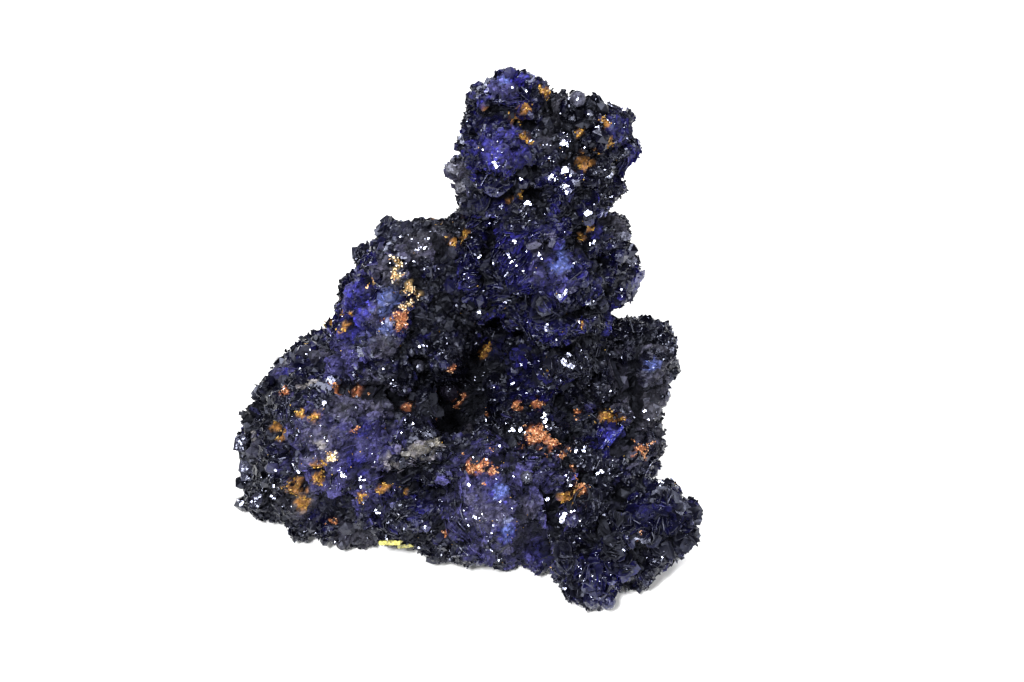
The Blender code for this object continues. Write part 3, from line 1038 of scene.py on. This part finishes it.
class Heap:
    """Collects copies of small forms, and turns them into one mesh."""

    def __init__(self):
        self.points, self.faces, self.colours, self.rough, self.count = [], [], [], [], 0

    def add(self, form, places, across, along, sizes, colours, rough, glow=0.0):
        """Adds copies of a form. Each row gives the place, directions, sizes, colour and roughness of one.

        The upper end of each copy is made lighter by the share glow: a painted highlight for the light a
        thin edge lets through.
        """
        corners, faces = form
        flat = np.cross(across, along)
        turned = np.stack([across, along, flat], axis=2) * sizes[:, None, :]
        points = np.einsum("nij,kj->nki", turned, corners) + places[:, None, :]
        points[..., 2] = np.maximum(points[..., 2], 0.0)
        first = self.count + np.arange(len(places)) * len(corners)
        lighter = 1 + glow * (corners[:, 1] > 0)
        self.points.append(points.reshape(-1, 3))
        self.faces.append((faces[None] + first[:, None, None]).reshape(-1, 3))
        self.colours.append((colours[:, None] * lighter[None, :, None]).reshape(-1, 3))
        self.rough.append(np.repeat(rough, len(corners)))
        self.count += len(places) * len(corners)

    def piece(self, name, material):
        """The heap as one object that rides on the specimen."""
        mesh = bpy.data.meshes.new(name)
        faces = np.concatenate(self.faces)
        mesh.vertices.add(self.count)
        mesh.vertices.foreach_set("co", np.concatenate(self.points).ravel())
        mesh.loops.add(faces.size)
        mesh.loops.foreach_set("vertex_index", faces.ravel())
        mesh.polygons.add(len(faces))
        mesh.polygons.foreach_set("loop_start", np.arange(0, faces.size, 3))
        mesh.update(calc_edges=True)
        mesh.validate()
        mesh.shade_flat()
        paint(mesh, np.concatenate(self.colours), np.concatenate(self.rough))
        mesh.materials.append(material)
        thing = bpy.data.objects.new(name, mesh)
        bpy.context.scene.collection.objects.link(thing)
        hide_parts(NODE)
        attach(thing, "root")
        print(f"{name}: {len(faces)} triangles")
        return thing


def on_skin(count, lowest, keep):
    """Chance places on the skin above a height, where keep says a chance of 0 to 1 for each."""
    picks = dice.choice(len(skin_points), count, replace=False)
    inside = (skin_points[picks, 2] > lowest * MM) & (dice.random(count) < keep(picks))
    return picks[inside]


# %% [markdown]
# ## Bladed crystals
#
# Azurite grows as thin blades. They stand side by side in the skin like the pages of a book, with only their
# upper edges showing, and the stacks curve from place to place. Round a rosette the blades run in rings. A
# smooth chance field gives the direction in which the blades run, so that neighbours are almost parallel.
#
# The stacks that stand out in the photograph are named. Each gives its place, the radius in millimetres that
# it covers, the direction of its stripes in the picture and the steepness of its blades in degrees, and
# whether they run in rings.

# %% Bladed crystals
STACKS = {
    "ball stripes": (510, 257, 7.0, 50, 62, False),
    "ball middle": (560, 275, 6.0, 30, 40, False),
    "ball foot": (545, 318, 6.0, 20, 55, False),
    "ball right": (596, 300, 5.0, 60, 55, False),
    "blade group": (610, 440, 5.0, 48, 70, False),
    "neck": (498, 205, 6.0, 10, 50, False),
    "head foot": (480, 165, 5.0, 100, 60, False),
    "rosette": (663, 519, 8.0, 0, 62, True),
    "rosette left": (622, 520, 6.0, 0, 60, True),
    "rosette low": (617, 548, 6.0, 0, 60, True),
    "rosette foot": (596, 575, 6.0, 0, 55, True),
    "shoulder": (455, 275, 6.0, 70, 55, False),
    "hollow right": (540, 385, 6.0, 35, 50, False),
    "lower shelf": (585, 440, 5.0, 80, 60, False),
    "front seam": (430, 510, 6.0, 30, 55, False),
    "front": (500, 505, 8.0, 120, 45, False),
    "right lobe": (650, 390, 6.0, 70, 55, False),
}
FLOW_SIZE = 11.0
STACK_PULL = 2.5
STACK_REACH = 1.4
FLOW_KINDS, STEEP_KIND, WIDTH_KIND = (11, 12, 13), 14, 15
STEEP_LIMITS = (15, 85)
BLADE_COUNT = 34000
BLADE_WIDE = (1.0, 3.4)
BLADE_TALL = (0.9, 2.2)
BLADE_THICK = (0.12, 0.36)
STEEPNESS, STEEPNESS_RANGE, STEEPNESS_SIZE = 52.0, 26.0, 8.0
STACK_SIZE_RANGE = 0.25
SUNK = -0.25
LOWEST_BLADE = 1.5
LEAN_CHANCE = 0.07
TOWER_FOOT = 68.0
BLADES_ANYWHERE = 0.35
CREVICE_CLEARS = 0.8
CLAY_RAGGED, NAVY_RIM, HAZE_RIM = 0.3, 0.5, 0.3
# Spots that keep blades off, how ragged their rim is here and how much they keep off
CLEAR_OF_HOLLOW = ((hollow, 0.2, 0.6),)
CLEAR_OF_BLADES = (
    (haze, HAZE_RIM, 0.75),
    (druse_grey, 0.3, 0.5),
    (velvet, 0.3, 0.6),
    (chalky, 0.3, 0.6),
    (blocky, 0.4, 0.8),
    (rosettes, 0.2, 0.9),
)

stack_places, _, stack_reach = spots_on_skin({name: stack[:3] for name, stack in STACKS.items()})
stack_turn, stack_steep, stack_rings = (np.array(column) for column in list(zip(*STACKS.values()))[3:])
stack_turn = np.radians(stack_turn)[:, None]
stack_stripes = np.cos(stack_turn) * IMAGE_RIGHT + np.sin(stack_turn) * IMAGE_UP


def flow(points, up):
    """The direction in which the blades run at points of the skin, and their steepness in degrees."""
    drift = np.column_stack([uneven(points, FLOW_SIZE, kind) for kind in FLOW_KINDS])
    steep = STEEPNESS + STEEPNESS_RANGE * uneven(points, STEEPNESS_SIZE, STEEP_KIND)
    far = np.linalg.norm(points[:, None] - stack_places[None], axis=2) / stack_reach[None]
    stack = far.argmin(axis=1)
    pull = np.clip(STACK_REACH - far.min(axis=1), 0, 1)
    rings = np.cross(up, unit(points - stack_places[stack]))
    stripes = np.where(stack_rings[stack][:, None], rings, stack_stripes[stack])
    drift += STACK_PULL * pull[:, None] * stripes
    steep += pull * (stack_steep[stack] - steep)
    return unit(np.cross(np.cross(up, drift), up)), np.radians(np.clip(steep, *STEEP_LIMITS))


def clay_share(points):
    return np.max([share_of(points, spots, CLAY_RAGGED) for spots in (ochre, orange, cream)], axis=0)


def cleared(points, clearing):
    """How much the given kinds of spot keep crystals off each point, in all."""
    return sum(amount * share_of(points, spots, ragged) for spots, ragged, amount in clearing)


def bare_for_blades(picks):
    """The chance that a blade grows at each pick, low on clay, velvet and druse and in crevices."""
    points = skin_points[picks]
    grown = BLADES_ANYWHERE + (1 - BLADES_ANYWHERE) * share_of(points, navy, NAVY_RIM)
    dark = np.maximum(cleared(points, CLEAR_OF_HOLLOW), CREVICE_CLEARS * in_crevice[picks])
    covered = clay_share(points) + cleared(points, CLEAR_OF_BLADES) + dark
    return grown * (1 - np.clip(covered, 0, 1))


picks = on_skin(BLADE_COUNT, LOWEST_BLADE, bare_for_blades)
places, up = skin_points[picks], knob_normals[picks]
across, steep = flow(places, up)
lean, steep = np.cross(across, up), steep[:, None]
along = unit(np.sin(steep) * up + np.cos(steep) * lean + dice.normal(0, LEAN_CHANCE, up.shape))
across = unit(np.cross(np.cross(along, across + dice.normal(0, LEAN_CHANCE, up.shape)), along))
spans = (BLADE_WIDE, BLADE_TALL, BLADE_THICK)
sizes = np.column_stack([dice.uniform(*span, len(picks)) for span in spans]) * MM
sizes *= 1 + STACK_SIZE_RANGE * uneven(places, STEEPNESS_SIZE, WIDTH_KIND)[:, None]
colours, rough, velvet_or_hollow = stone_colours(picks, dice.random(len(picks)))
middles = places + along * sizes[:, 1:2] * SUNK
form = dice.integers(0, len(PLATES), len(picks))
on_tower, in_front = places[:, 2] > TOWER_FOOT * MM, places[:, 1] < 0
# Blades on velvety stone and in the hollow take the duller velvet material; in the hollow that is painted
# shade.
LOBES = {
    "blades_tower": on_tower & ~velvet_or_hollow,
    "blades_front": ~on_tower & in_front & ~velvet_or_hollow,
    "blades_back": ~on_tower & ~in_front & ~velvet_or_hollow,
    "blades_velvet_and_hollow": velvet_or_hollow,
}
blades = (middles, across, along, sizes, colours, rough)
for name, inside in LOBES.items():
    heap = Heap()
    for number, plate in enumerate(PLATES):
        which = inside & (form == number)
        heap.add(plate, *(values[which] for values in blades), TIP_HIGHLIGHT)
    heap.piece(name, velvet_stone if name == "blades_velvet_and_hollow" else blade_stone)

# %% [markdown]
# ## Rosettes
#
# On the lower right lobes larger blades stand in nested rings, a few millimetres wide and bent round their
# middle. They stand upright in the middle and lean outwards at the rim. Each starts as a chance point of a
# flat disc on the lobe, and stands at the place of the skin nearest to that point.

# %% Rosettes
PETALS = [
    petal_form((0.1, 0.4, 0.52, 0.42, 0.05), 0.5, 2.6),
    petal_form((0.25, 0.5, 0.42, 0.5, 0.2), 0.4, 3.4),
]
DISC_SIDE = (0.3, 0.5, 0.8)
PETAL_CROWDING = 1.1
PETAL_WIDE = (2.6, 5.8)
PETAL_TALL = (2.2, 4.0)
PETAL_THICK = (0.2, 0.4)
PETAL_SUNK = -0.2
PETAL_STEEP = (80.0, 38.0)
PETAL_LEAN = 0.1
# Painted highlight on the upper ends of the petals.
PETAL_HIGHLIGHT = 0.45
PETAL_DULL = 0.18

found = []
for centre, up, radius in zip(*rosettes):
    side = unit(np.cross(up, DISC_SIDE))
    for _ in range(int((radius / MM) ** 2 * PETAL_CROWDING)):
        angle, out = dice.uniform(0, 2 * np.pi), np.sqrt(dice.random())
        way = np.cos(angle) * side + np.sin(angle) * np.cross(up, side)
        place, outward, number, _ = skin_tree.find_nearest(Vector(centre + way * out * radius))
        if place.z > LOWEST_BLADE * MM:
            found.append((place, outward, way, [out], skin_mesh.polygons[number].vertices[0]))
places, up, way, out, picks = (np.array(column) for column in zip(*found))
across = unit(np.cross(up, way))
steep = np.radians(PETAL_STEEP[0] + (PETAL_STEEP[1] - PETAL_STEEP[0]) * out)
along = np.sin(steep) * up + np.cos(steep) * np.cross(across, up)
along = unit(along + dice.normal(0, PETAL_LEAN, up.shape))
across = unit(np.cross(np.cross(along, across), along))
spans = (PETAL_WIDE, PETAL_TALL, PETAL_THICK)
sizes = np.column_stack([dice.uniform(*span, len(picks)) for span in spans]) * MM
colours, rough, _ = stone_colours(picks, dice.random(len(picks)))
form = dice.integers(0, len(PETALS), len(picks))
middles = places + along * sizes[:, 1:2] * PETAL_SUNK
petals = (middles, across, along, sizes, colours, rough + PETAL_DULL)
heap = Heap()
for number, petal in enumerate(PETALS):
    heap.add(petal, *(values[form == number] for values in petals), PETAL_HIGHLIGHT)
heap.piece("rosette_petals", blade_stone)

# %% [markdown]
# ## Dark knobs
#
# The darker walls are crowded with knobs two or three millimetres across, each with about twenty flat faces.

# %% Dark knobs
BLOCK_COUNT = 5200
BLOCK_SIZE = (1.0, 4.4)
BLOCK_UNEVEN = (0.7, 1.3)
BLOCK_LIFT = -0.1
BLOCK_SHADE = 0.55
BLOCK_RAGGED = 0.5


def blocky_stone(picks):
    """The chance that a dark knob grows at each pick."""
    return share_of(skin_points[picks], blocky, BLOCK_RAGGED)


picks = on_skin(BLOCK_COUNT, LOWEST_BLADE, blocky_stone)
places, up = skin_points[picks], skin_normals[picks]
along = unit(dice.normal(size=up.shape))
across = unit(np.cross(along, dice.normal(size=up.shape)))
sizes = BLOCK_SIZE[0] + np.ptp(BLOCK_SIZE) * dice.random((len(picks), 1)) ** 2
sizes = sizes * dice.uniform(*BLOCK_UNEVEN, (len(picks), 3)) * MM
colours, rough, _ = stone_colours(picks, dice.random(len(picks)))
heap = Heap()
heap.add(CRUMB, places + up * BLOCK_LIFT * MM, across, along, sizes, colours * BLOCK_SHADE, rough)
heap.piece("dark_knobs", blade_stone)

# %% [markdown]
# ## Druse
#
# Between the blades the skin is a druse, a crust of crystals half a millimetre across that glitters. Each is
# a blunt wedge on a square foot. Those on velvety stone and in the hollow are kept apart, as their material
# mirrors less; in the hollow that is painted shade.

# %% Druse
GRAIN_COUNT = 30000
GRAIN_SIZE = (0.35, 0.85)
GRAIN_UNEVEN = (0.7, 1.3)
GRAIN_LEAN = 0.45
GRAIN_LIFT = 0.15
GRAIN_SHINE = 0.7
# Painted highlight on the upper ends of the grains.
GRAIN_HIGHLIGHT = 0.4
LOWEST_GRAIN = 0.6
CLAY_CLEARS, BLADES_CLEAR = 0.8, 0.5
CLEAR_OF_DRUSE = ((hollow, 0.2, 0.5), (blocky, 0.4, 0.5), (rosettes, 0.2, 0.9))


def bare_for_druse(picks):
    """The chance that a druse crystal grows at each pick."""
    points = skin_points[picks]
    bladed = share_of(points, navy, NAVY_RIM) * (1 - share_of(points, haze, HAZE_RIM))
    covered = CLAY_CLEARS * clay_share(points) + BLADES_CLEAR * bladed + cleared(points, CLEAR_OF_DRUSE)
    return 1 - np.clip(covered, 0, 1)


picks = on_skin(GRAIN_COUNT, LOWEST_GRAIN, bare_for_druse)
places, up = skin_points[picks], skin_normals[picks]
along = unit(up + dice.normal(0, GRAIN_LEAN, up.shape))
across = unit(np.cross(along, dice.normal(size=up.shape)))
sizes = dice.uniform(*GRAIN_SIZE, (len(picks), 1)) * dice.uniform(*GRAIN_UNEVEN, (len(picks), 3)) * MM
colours, rough, velvet_or_hollow = stone_colours(picks, dice.random(len(picks)))
rough = np.where(velvet_or_hollow, rough, rough * GRAIN_SHINE)
grains = (places + up * GRAIN_LIFT * MM, across, along, sizes, colours, rough)
for name, inside, stone in (("druse", ~velvet_or_hollow, blade_stone), ("druse_velvet_and_hollow", velvet_or_hollow, velvet_stone)):
    heap = Heap()
    heap.add(GRAIN, *(values[inside] for values in grains), GRAIN_HIGHLIGHT)
    heap.piece(name, stone)

# %% [markdown]
# ## Crystals and knobs that stand out
#
# A few single plates and round knobs can be told apart in the photograph. A plate gives its place, length
# and width in millimetres, its direction in the picture in degrees and its colour. It faces between the
# camera and the way out of the skin. A knob gives its place, radius and colour.

# %% Single plates and knobs
SINGLE_PLATES = {
    "neck tip": (453, 168, 3.4, 2.2, 160, "#46464E"),
    "neck tip low": (464, 186, 3.4, 2.4, 200, "#3E3E44"),
    "neck tip under": (466, 200, 2.6, 2.0, 215, "#33333D"),
    "ball plate": (534, 243, 3.0, 1.8, 20, "#2C2B3A"),
    "ball plate right": (551, 240, 2.4, 1.6, 70, "#3A3A4C"),
    "ball grey": (571, 290, 2.4, 1.5, 30, "#262538"),
    "fringe high": (624, 238, 3.0, 2.4, 10, "#2A2A33"),
    "fringe": (628, 262, 3.4, 2.6, 350, "#23232B"),
    "fringe low": (627, 284, 3.6, 3.0, 340, "#3A3B42"),
    "blade one": (599, 449, 5.0, 0.8, 48, "#1B1D58"),
    "blade two": (603, 446, 6.0, 0.7, 48, "#15164A"),
    "blade three": (607, 442, 6.0, 0.8, 47, "#26297C"),
    "blade four": (611, 439, 6.0, 0.7, 46, "#17184E"),
    "blade five": (615, 435, 6.0, 0.8, 47, "#23266E"),
    "blade six": (619, 431, 5.0, 0.7, 45, "#1A1B56"),
    "left block": (242, 442, 4.0, 3.4, 80, "#15151F"),
    "left block low": (246, 470, 4.4, 3.2, 95, "#1B1B28"),
    "left block foot": (258, 500, 4.0, 3.0, 60, "#12121C"),
    "left block high": (256, 412, 3.6, 3.0, 120, "#1A1A30"),
    "foot flake": (392, 541, 5.0, 1.3, 5, "#A9A255"),
    "foot flake right": (406, 544, 4.0, 1.2, 352, "#8E8A4E"),
    "ledge chip": (430, 446, 2.0, 1.2, 20, "#5C5A58"),
    "ledge chip left": (408, 453, 2.0, 1.2, 5, "#545250"),
}
SINGLE_KNOBS = {
    "crown knob": (577, 100, 1.9, "#3A3A46"),
    "front knob": (526, 475, 1.7, "#34343F"),
    "dark ball": (451, 392, 2.9, "#121018"),
    "foot lobe": (590, 597, 2.4, "#14142A"),
    "foot lobe right": (606, 600, 2.2, "#1B1B36"),
    "cluster": (420, 368, 1.7, "#26262F"),
    "rosette knob": (574, 520, 1.8, "#1C1B34"),
}
PLATE_THICK = 0.5
PLATE_LIFT = 0.5
PLATE_TO_CAMERA = 0.55
PLATE_ROUGH = 0.25
# Painted highlight on the upper ends of the single plates.
PLATE_HIGHLIGHT = 0.5
PLATE_FORMS = 3
KNOB_ROUGH = 0.16
KNOB_LIFT = 0.45


def on_named(table, size_at):
    """Places, outward directions and the table's rows, for the entries whose ray meets the skin."""
    found = [(seen_at(*entry[:2]), entry) for entry in table.values()]
    found = [(place, outward, entry) for (place, outward), entry in found if place is not None]
    places, outward, entries = zip(*found)
    return np.array(places), np.array(outward), np.array([entry[2:size_at] for entry in entries]), entries


places, up, numbers, entries = on_named(SINGLE_PLATES, 5)
to_camera = unit(np.array(CAMERA_PLACE) - places)
facing = unit(PLATE_TO_CAMERA * to_camera + (1 - PLATE_TO_CAMERA) * up)
turn = np.radians(numbers[:, 2:3])
in_picture = np.cos(turn) * IMAGE_RIGHT + np.sin(turn) * IMAGE_UP
along = unit(in_picture - (in_picture * facing).sum(axis=1, keepdims=True) * facing)
sizes = np.column_stack([numbers[:, 1], numbers[:, 0], np.full(len(numbers), PLATE_THICK)]) * MM
shades = np.array([linear(entry[5]) for entry in entries])
heap = Heap()
form = np.arange(len(places)) % PLATE_FORMS
middles, rough = places + up * PLATE_LIFT * MM, np.full(len(places), PLATE_ROUGH)
for number in range(PLATE_FORMS):
    copies = (middles, np.cross(along, facing), along, sizes, shades, rough)
    heap.add(PLATES[number], *(values[form == number] for values in copies), PLATE_HIGHLIGHT)
places, up, numbers, entries = on_named(SINGLE_KNOBS, 3)
across = unit(np.cross(up, dice.normal(size=up.shape)))
sizes = np.repeat(numbers * 2 * MM, 3, axis=1)
shades = np.array([linear(entry[3]) for entry in entries])
centres = places + up * numbers * KNOB_LIFT * MM
heap.add(BALL, centres, across, up, sizes, shades, np.full(len(places), KNOB_ROUGH))
heap.piece("single_crystals", azurite("azurite single crystals", DRUSE_TILT, GLASSY_SHINE))

# %% [markdown]
# ## Limonite clay
#
# Ochre to orange limonite fills the crevices as a crumbly, dry clay. Each spot is a ragged heap of small
# crumbs laid over the skin. The ochre is thinned to veins, along lines where a chance field is near zero.
# Loose specks of clay lie here and there, most of them on the hazy stone.

# %% Limonite clay
CRUMB_SIZE = (0.16, 0.46)
CRUMB_LONG = (0.8, 1.7)
CRUMB_TALL = (0.35, 0.7)
CRUMB_LIFT = 0.22
CRUMB_PARTS = 4
CRUMB_SPREAD = 0.32
CLAY_RIM = 0.9
VEIN, VEIN_KIND, VEIN_THIN = 1.1, 21, 1.6
FILL_CHANCE = (0.2, 0.8)
OCHRE_VEINED, ORANGE_VEINED, CREAM_VEINED = 0.75, 0.3, 0.15
DUST_COUNT = 1100
DUST_SIZE = (0.15, 0.4)
DUST_ANYWHERE, DUST_RAGGED = 0.2, 0.5
CLAY_GRAIN = 0.9
CLAY_DETAIL = 5.0
CLAY_SHADES = (0.45, 1.5)
CLAY_ROUGH = 0.9
CLAY_IOR = 1.3
CLAY_BUMP, CLAY_BUMP_STRENGTH = 0.4, 0.8
OCHRES = ("#A88238", "#946C28", "#C09C58", "#644820")
CREAMS = ("#FFDFB0", "#F0C492", "#FFF2D8", "#C0925E")
ORANGES = ("#BE845C", "#A46A46", "#CEA07C", "#6E4830")


def limonite(name):
    """Dry, dull, uneven clay."""
    material, tree = new_material(name)
    shade, cloud, _ = clouded_colour(tree, CLAY_GRAIN, CLAY_DETAIL, CLAY_SHADES)
    relief = {"Distance": CLAY_BUMP * MM, "Strength": CLAY_BUMP_STRENGTH}
    bumps = add_node(tree, "ShaderNodeBump", Height=cloud, **relief)
    look = {"Base_Color": shade, "Roughness": CLAY_ROUGH, "Normal": bumps.outputs[0], "IOR": CLAY_IOR}
    shader = add_node(tree, "ShaderNodeBsdfPrincipled", **look)
    add_node(tree, "ShaderNodeOutputMaterial", Surface=shader.outputs[0])
    return material


def clay_tones(shades, count):
    return tones_of(shades)[dice.integers(0, len(shades), count)]


def clay_crumbs(heap, spots, shades, veined):
    """Crumbs that fill the spots, thinned out by the share veined except along the veins."""
    branched = 1 - np.abs(uneven(skin_points, VEIN, VEIN_KIND)) * VEIN_THIN
    filled = share_of(skin_points, spots, CLAY_RIM) * (1 - veined + veined * np.clip(branched, 0, 1))
    inside = np.flatnonzero(filled > dice.uniform(*FILL_CHANCE, len(skin_points)))
    picks = np.repeat(inside, CRUMB_PARTS)
    places, up = skin_points[picks], skin_normals[picks]
    places = places + np.cross(up, dice.normal(0, CRUMB_SPREAD, up.shape)) * MM
    across = unit(np.cross(up, dice.normal(size=up.shape)))
    shape = [dice.uniform(*span, len(picks)) for span in (CRUMB_LONG, CRUMB_TALL, CRUMB_LONG)]
    sizes = dice.uniform(*CRUMB_SIZE, (len(picks), 1)) * np.column_stack(shape) * MM
    tone, rough = clay_tones(shades, len(picks)), np.full(len(picks), CLAY_ROUGH)
    heap.add(CRUMB, places + up * CRUMB_LIFT * MM, across, up, sizes, tone, rough)


def clay_dust(heap):
    """Loose specks of clay, most of them on the hazy stone."""

    def dusty(chosen):
        return DUST_ANYWHERE + (1 - DUST_ANYWHERE) * share_of(skin_points[chosen], haze, DUST_RAGGED)

    picks = on_skin(DUST_COUNT, LOWEST_SPOT, dusty)
    up = skin_normals[picks]
    across = unit(np.cross(up, dice.normal(size=up.shape)))
    sizes = dice.uniform(*DUST_SIZE, (len(picks), 3)) * MM
    tone, rough = clay_tones(OCHRES, len(picks)), np.full(len(picks), CLAY_ROUGH)
    heap.add(CRUMB, skin_points[picks] + up * CRUMB_LIFT * MM, across, up, sizes, tone, rough)


heap = Heap()
clay_dust(heap)
clay_crumbs(heap, ochre, OCHRES, OCHRE_VEINED)
clay_crumbs(heap, orange, ORANGES, ORANGE_VEINED)
clay_crumbs(heap, cream, CREAMS, CREAM_VEINED)
heap.piece("limonite_clay", limonite("limonite clay"))

# %% [markdown]
# ## Faces that mirror a lamp
#
# Some cleavage faces happen to face halfway between the camera and a lamp, so that they flash white. The
# direction of each is worked out from the two directions it has to mirror. The flashes that stand out are
# named, and each is broken into a few faces. Many tiny ones are strewn where the skin faces that way too,
# most of them in the stretches that glitter, and a power of their chance keeps large ones rare.

# %% Mirror faces
KEY_LAMP = Vector((-160, -420, 620)) * MM
MIRROR_THICK = 1.8
MIRROR_LIFT = -0.1
MIRROR_SLANT = 0.55
MIRROR_ROUGH = (0.12, 0.34)
MIRROR_LONG, MIRROR_WIDE = (1.2, 2.4), (0.7, 1.9)
MIRROR_SHADE = "#14132A"
MIRROR_OPEN = 0.6
SMALL_GLINTS = 520
GLITTER_SHARE = 0.88
SMALL_GLINT_RADIUS = (0.08, 0.42)
RARE_POWER = 6
GLITTER_RAGGED = 0.6
GLINT_PARTS = 4
PART_RADIUS = (0.25, 0.7)
PART_SPREAD = 0.55

likely = 1 - GLITTER_SHARE + GLITTER_SHARE * share_of(skin_points, glitter, GLITTER_RAGGED)
flashing = unit(TO_CAMERA + unit(np.array(KEY_LAMP) - skin_points))
likely = likely * ((flashing * skin_normals).sum(axis=1) > MIRROR_SLANT) * (openness > MIRROR_OPEN)
likely = likely * (1 - clay_share(skin_points))
picks = dice.choice(len(skin_points), SMALL_GLINTS, replace=False, p=likely / likely.sum())
small_radii = SMALL_GLINT_RADIUS[0] + np.ptp(SMALL_GLINT_RADIUS) * dice.random(SMALL_GLINTS) ** RARE_POWER
small_radii *= MM
parts = [np.repeat(values, GLINT_PARTS, axis=0) for values in glints]
moved = parts[0] + dice.normal(0, PART_SPREAD, parts[0].shape) * parts[2][:, None]
moved = [skin_tree.find_nearest(Vector(place)) for place in moved]
glint_places = np.concatenate([[found[0] for found in moved], skin_points[picks]])
glint_up = np.concatenate([parts[1], skin_normals[picks]])
glint_radii = np.concatenate([parts[2] * dice.uniform(*PART_RADIUS, len(parts[2])), small_radii])
glint_count = len(glint_places)
to_camera = unit(np.array(CAMERA_PLACE) - glint_places)
to_lamp = unit(np.array(KEY_LAMP) - glint_places)
halfway = unit(to_camera + to_lamp)
across = unit(np.cross(halfway, dice.normal(size=halfway.shape)))
along = np.cross(halfway, across)
tall = glint_radii * dice.uniform(*MIRROR_LONG, glint_count)
wide = glint_radii * dice.uniform(*MIRROR_WIDE, glint_count)
sizes = np.column_stack([wide, tall, np.full(glint_count, MIRROR_THICK * MM)])
shades = np.tile(linear(MIRROR_SHADE), (glint_count, 1))
places = glint_places + glint_up * MIRROR_LIFT * MM
heap = Heap()
rough = dice.uniform(*MIRROR_ROUGH, glint_count)
rough[: len(moved)] = MIRROR_ROUGH[0]
heap.add(MIRROR, places, across, along, sizes, shades, rough)
heap.piece("mirror_faces", azurite("azurite cleavage", CLEAVAGE_TILT, CLEAVAGE_SHINE))

# %% [markdown]
# ## Floor and light
#
# The photograph was taken on white paper in a studio. The camera sees white all round, so the far paper
# glows for the camera alone. The stone sees a dim ceiling and darker walls, so that its glassy faces are
# light or dark by where they point. A large soft lamp shades the lobes, and small strong ones give the
# glints. The lamp behind is for views of the back.

# %% Floor
FLOOR_HALF = 3.0
PAPER_WHITE = (0.92, 0.92, 0.92, 1)
PAPER_ROUGH = 0.9
PAPER_GLOW = 0.95
# Where the glow starts and where it is full, in metres from the stone
GLOW_ENDS = (0.2, 0.9)
floor_mesh = bpy.data.meshes.new("floor")
sides = [(-1, -1), (1, -1), (1, 1), (-1, 1)]
floor_mesh.from_pydata([(x * FLOOR_HALF, y * FLOOR_HALF, 0) for x, y in sides], [], [(0, 1, 2, 3)])
floor = bpy.data.objects.new("floor", floor_mesh)
bpy.context.scene.collection.objects.link(floor)
paper, tree = new_material("white paper")
place = add_node(tree, "ShaderNodeTexCoord").outputs["Object"]
far = add_node(tree, "ShaderNodeVectorMath", {"operation": "LENGTH"}, i0=place).outputs["Value"]
seen = add_node(tree, "ShaderNodeLightPath").outputs["Is Camera Ray"]
spread = mapped(tree, far, GLOW_ENDS, (0.0, PAPER_GLOW))
glow = add_node(tree, "ShaderNodeMath", {"operation": "MULTIPLY"}, i0=spread, i1=seen).outputs[0]
shader = add_node(
    tree,
    "ShaderNodeBsdfPrincipled",
    Base_Color=PAPER_WHITE,
    Roughness=PAPER_ROUGH,
    Emission_Color=PAPER_WHITE,
    Emission_Strength=glow,
)
add_node(tree, "ShaderNodeOutputMaterial", Surface=shader.outputs[0])
floor_mesh.materials.append(paper)
print("floor", 2 * FLOOR_HALF, "m wide")

# %% Lights
WALLS, CEILING = 0.04, 0.19
WALL_ENDS = (0.1, 0.9)
SEEN_WHITE = 1.0
AIM = Vector((0, 0, 50)) * MM

world = bpy.data.worlds.new("white studio")
bpy.context.scene.world = world
world.use_nodes = True
tree = world.node_tree
tree.nodes.clear()
direction = add_node(tree, "ShaderNodeTexCoord").outputs["Generated"]
height = add_node(tree, "ShaderNodeSeparateXYZ", Vector=direction).outputs["Z"]
studio = mapped(tree, height, WALL_ENDS, (WALLS, CEILING))
seen = add_node(tree, "ShaderNodeLightPath").outputs["Is Camera Ray"]
strength = add_node(tree, "ShaderNodeMix", {"data_type": "FLOAT"}, Factor=seen, A=studio, B=SEEN_WHITE)
sky_light = add_node(tree, "ShaderNodeBackground", Color=(1, 1, 1, 1), Strength=strength.outputs[0])
add_node(tree, "ShaderNodeOutputWorld", Surface=sky_light.outputs[0])


def lamp(name, place, watts, size):
    """A square lamp that points at the middle of the stone."""
    data = bpy.data.lights.new(name, "AREA")
    data.energy = watts
    data.size = size
    thing = bpy.data.objects.new(name, data)
    thing.location = place
    thing.rotation_euler = (AIM - place).to_track_quat("-Z", "Y").to_euler()
    bpy.context.scene.collection.objects.link(thing)


lamp("soft top", Vector((150, 100, 900)) * MM, 8.0, 0.5)
lamp("key", KEY_LAMP, 7.5, 0.12)
lamp("right spark", Vector((420, -300, 560)) * MM, 1.8, 0.1)
lamp("front spark", Vector((60, -620, 480)) * MM, 0.8, 0.05)
lamp("left spark", Vector((-460, -120, 520)) * MM, 0.6, 0.05)
lamp("back", Vector((60, 560, 560)) * MM, 2.0, 0.25)
bpy.context.scene.view_settings.view_transform = "Standard"
print(len(bpy.data.lights), "lamps")
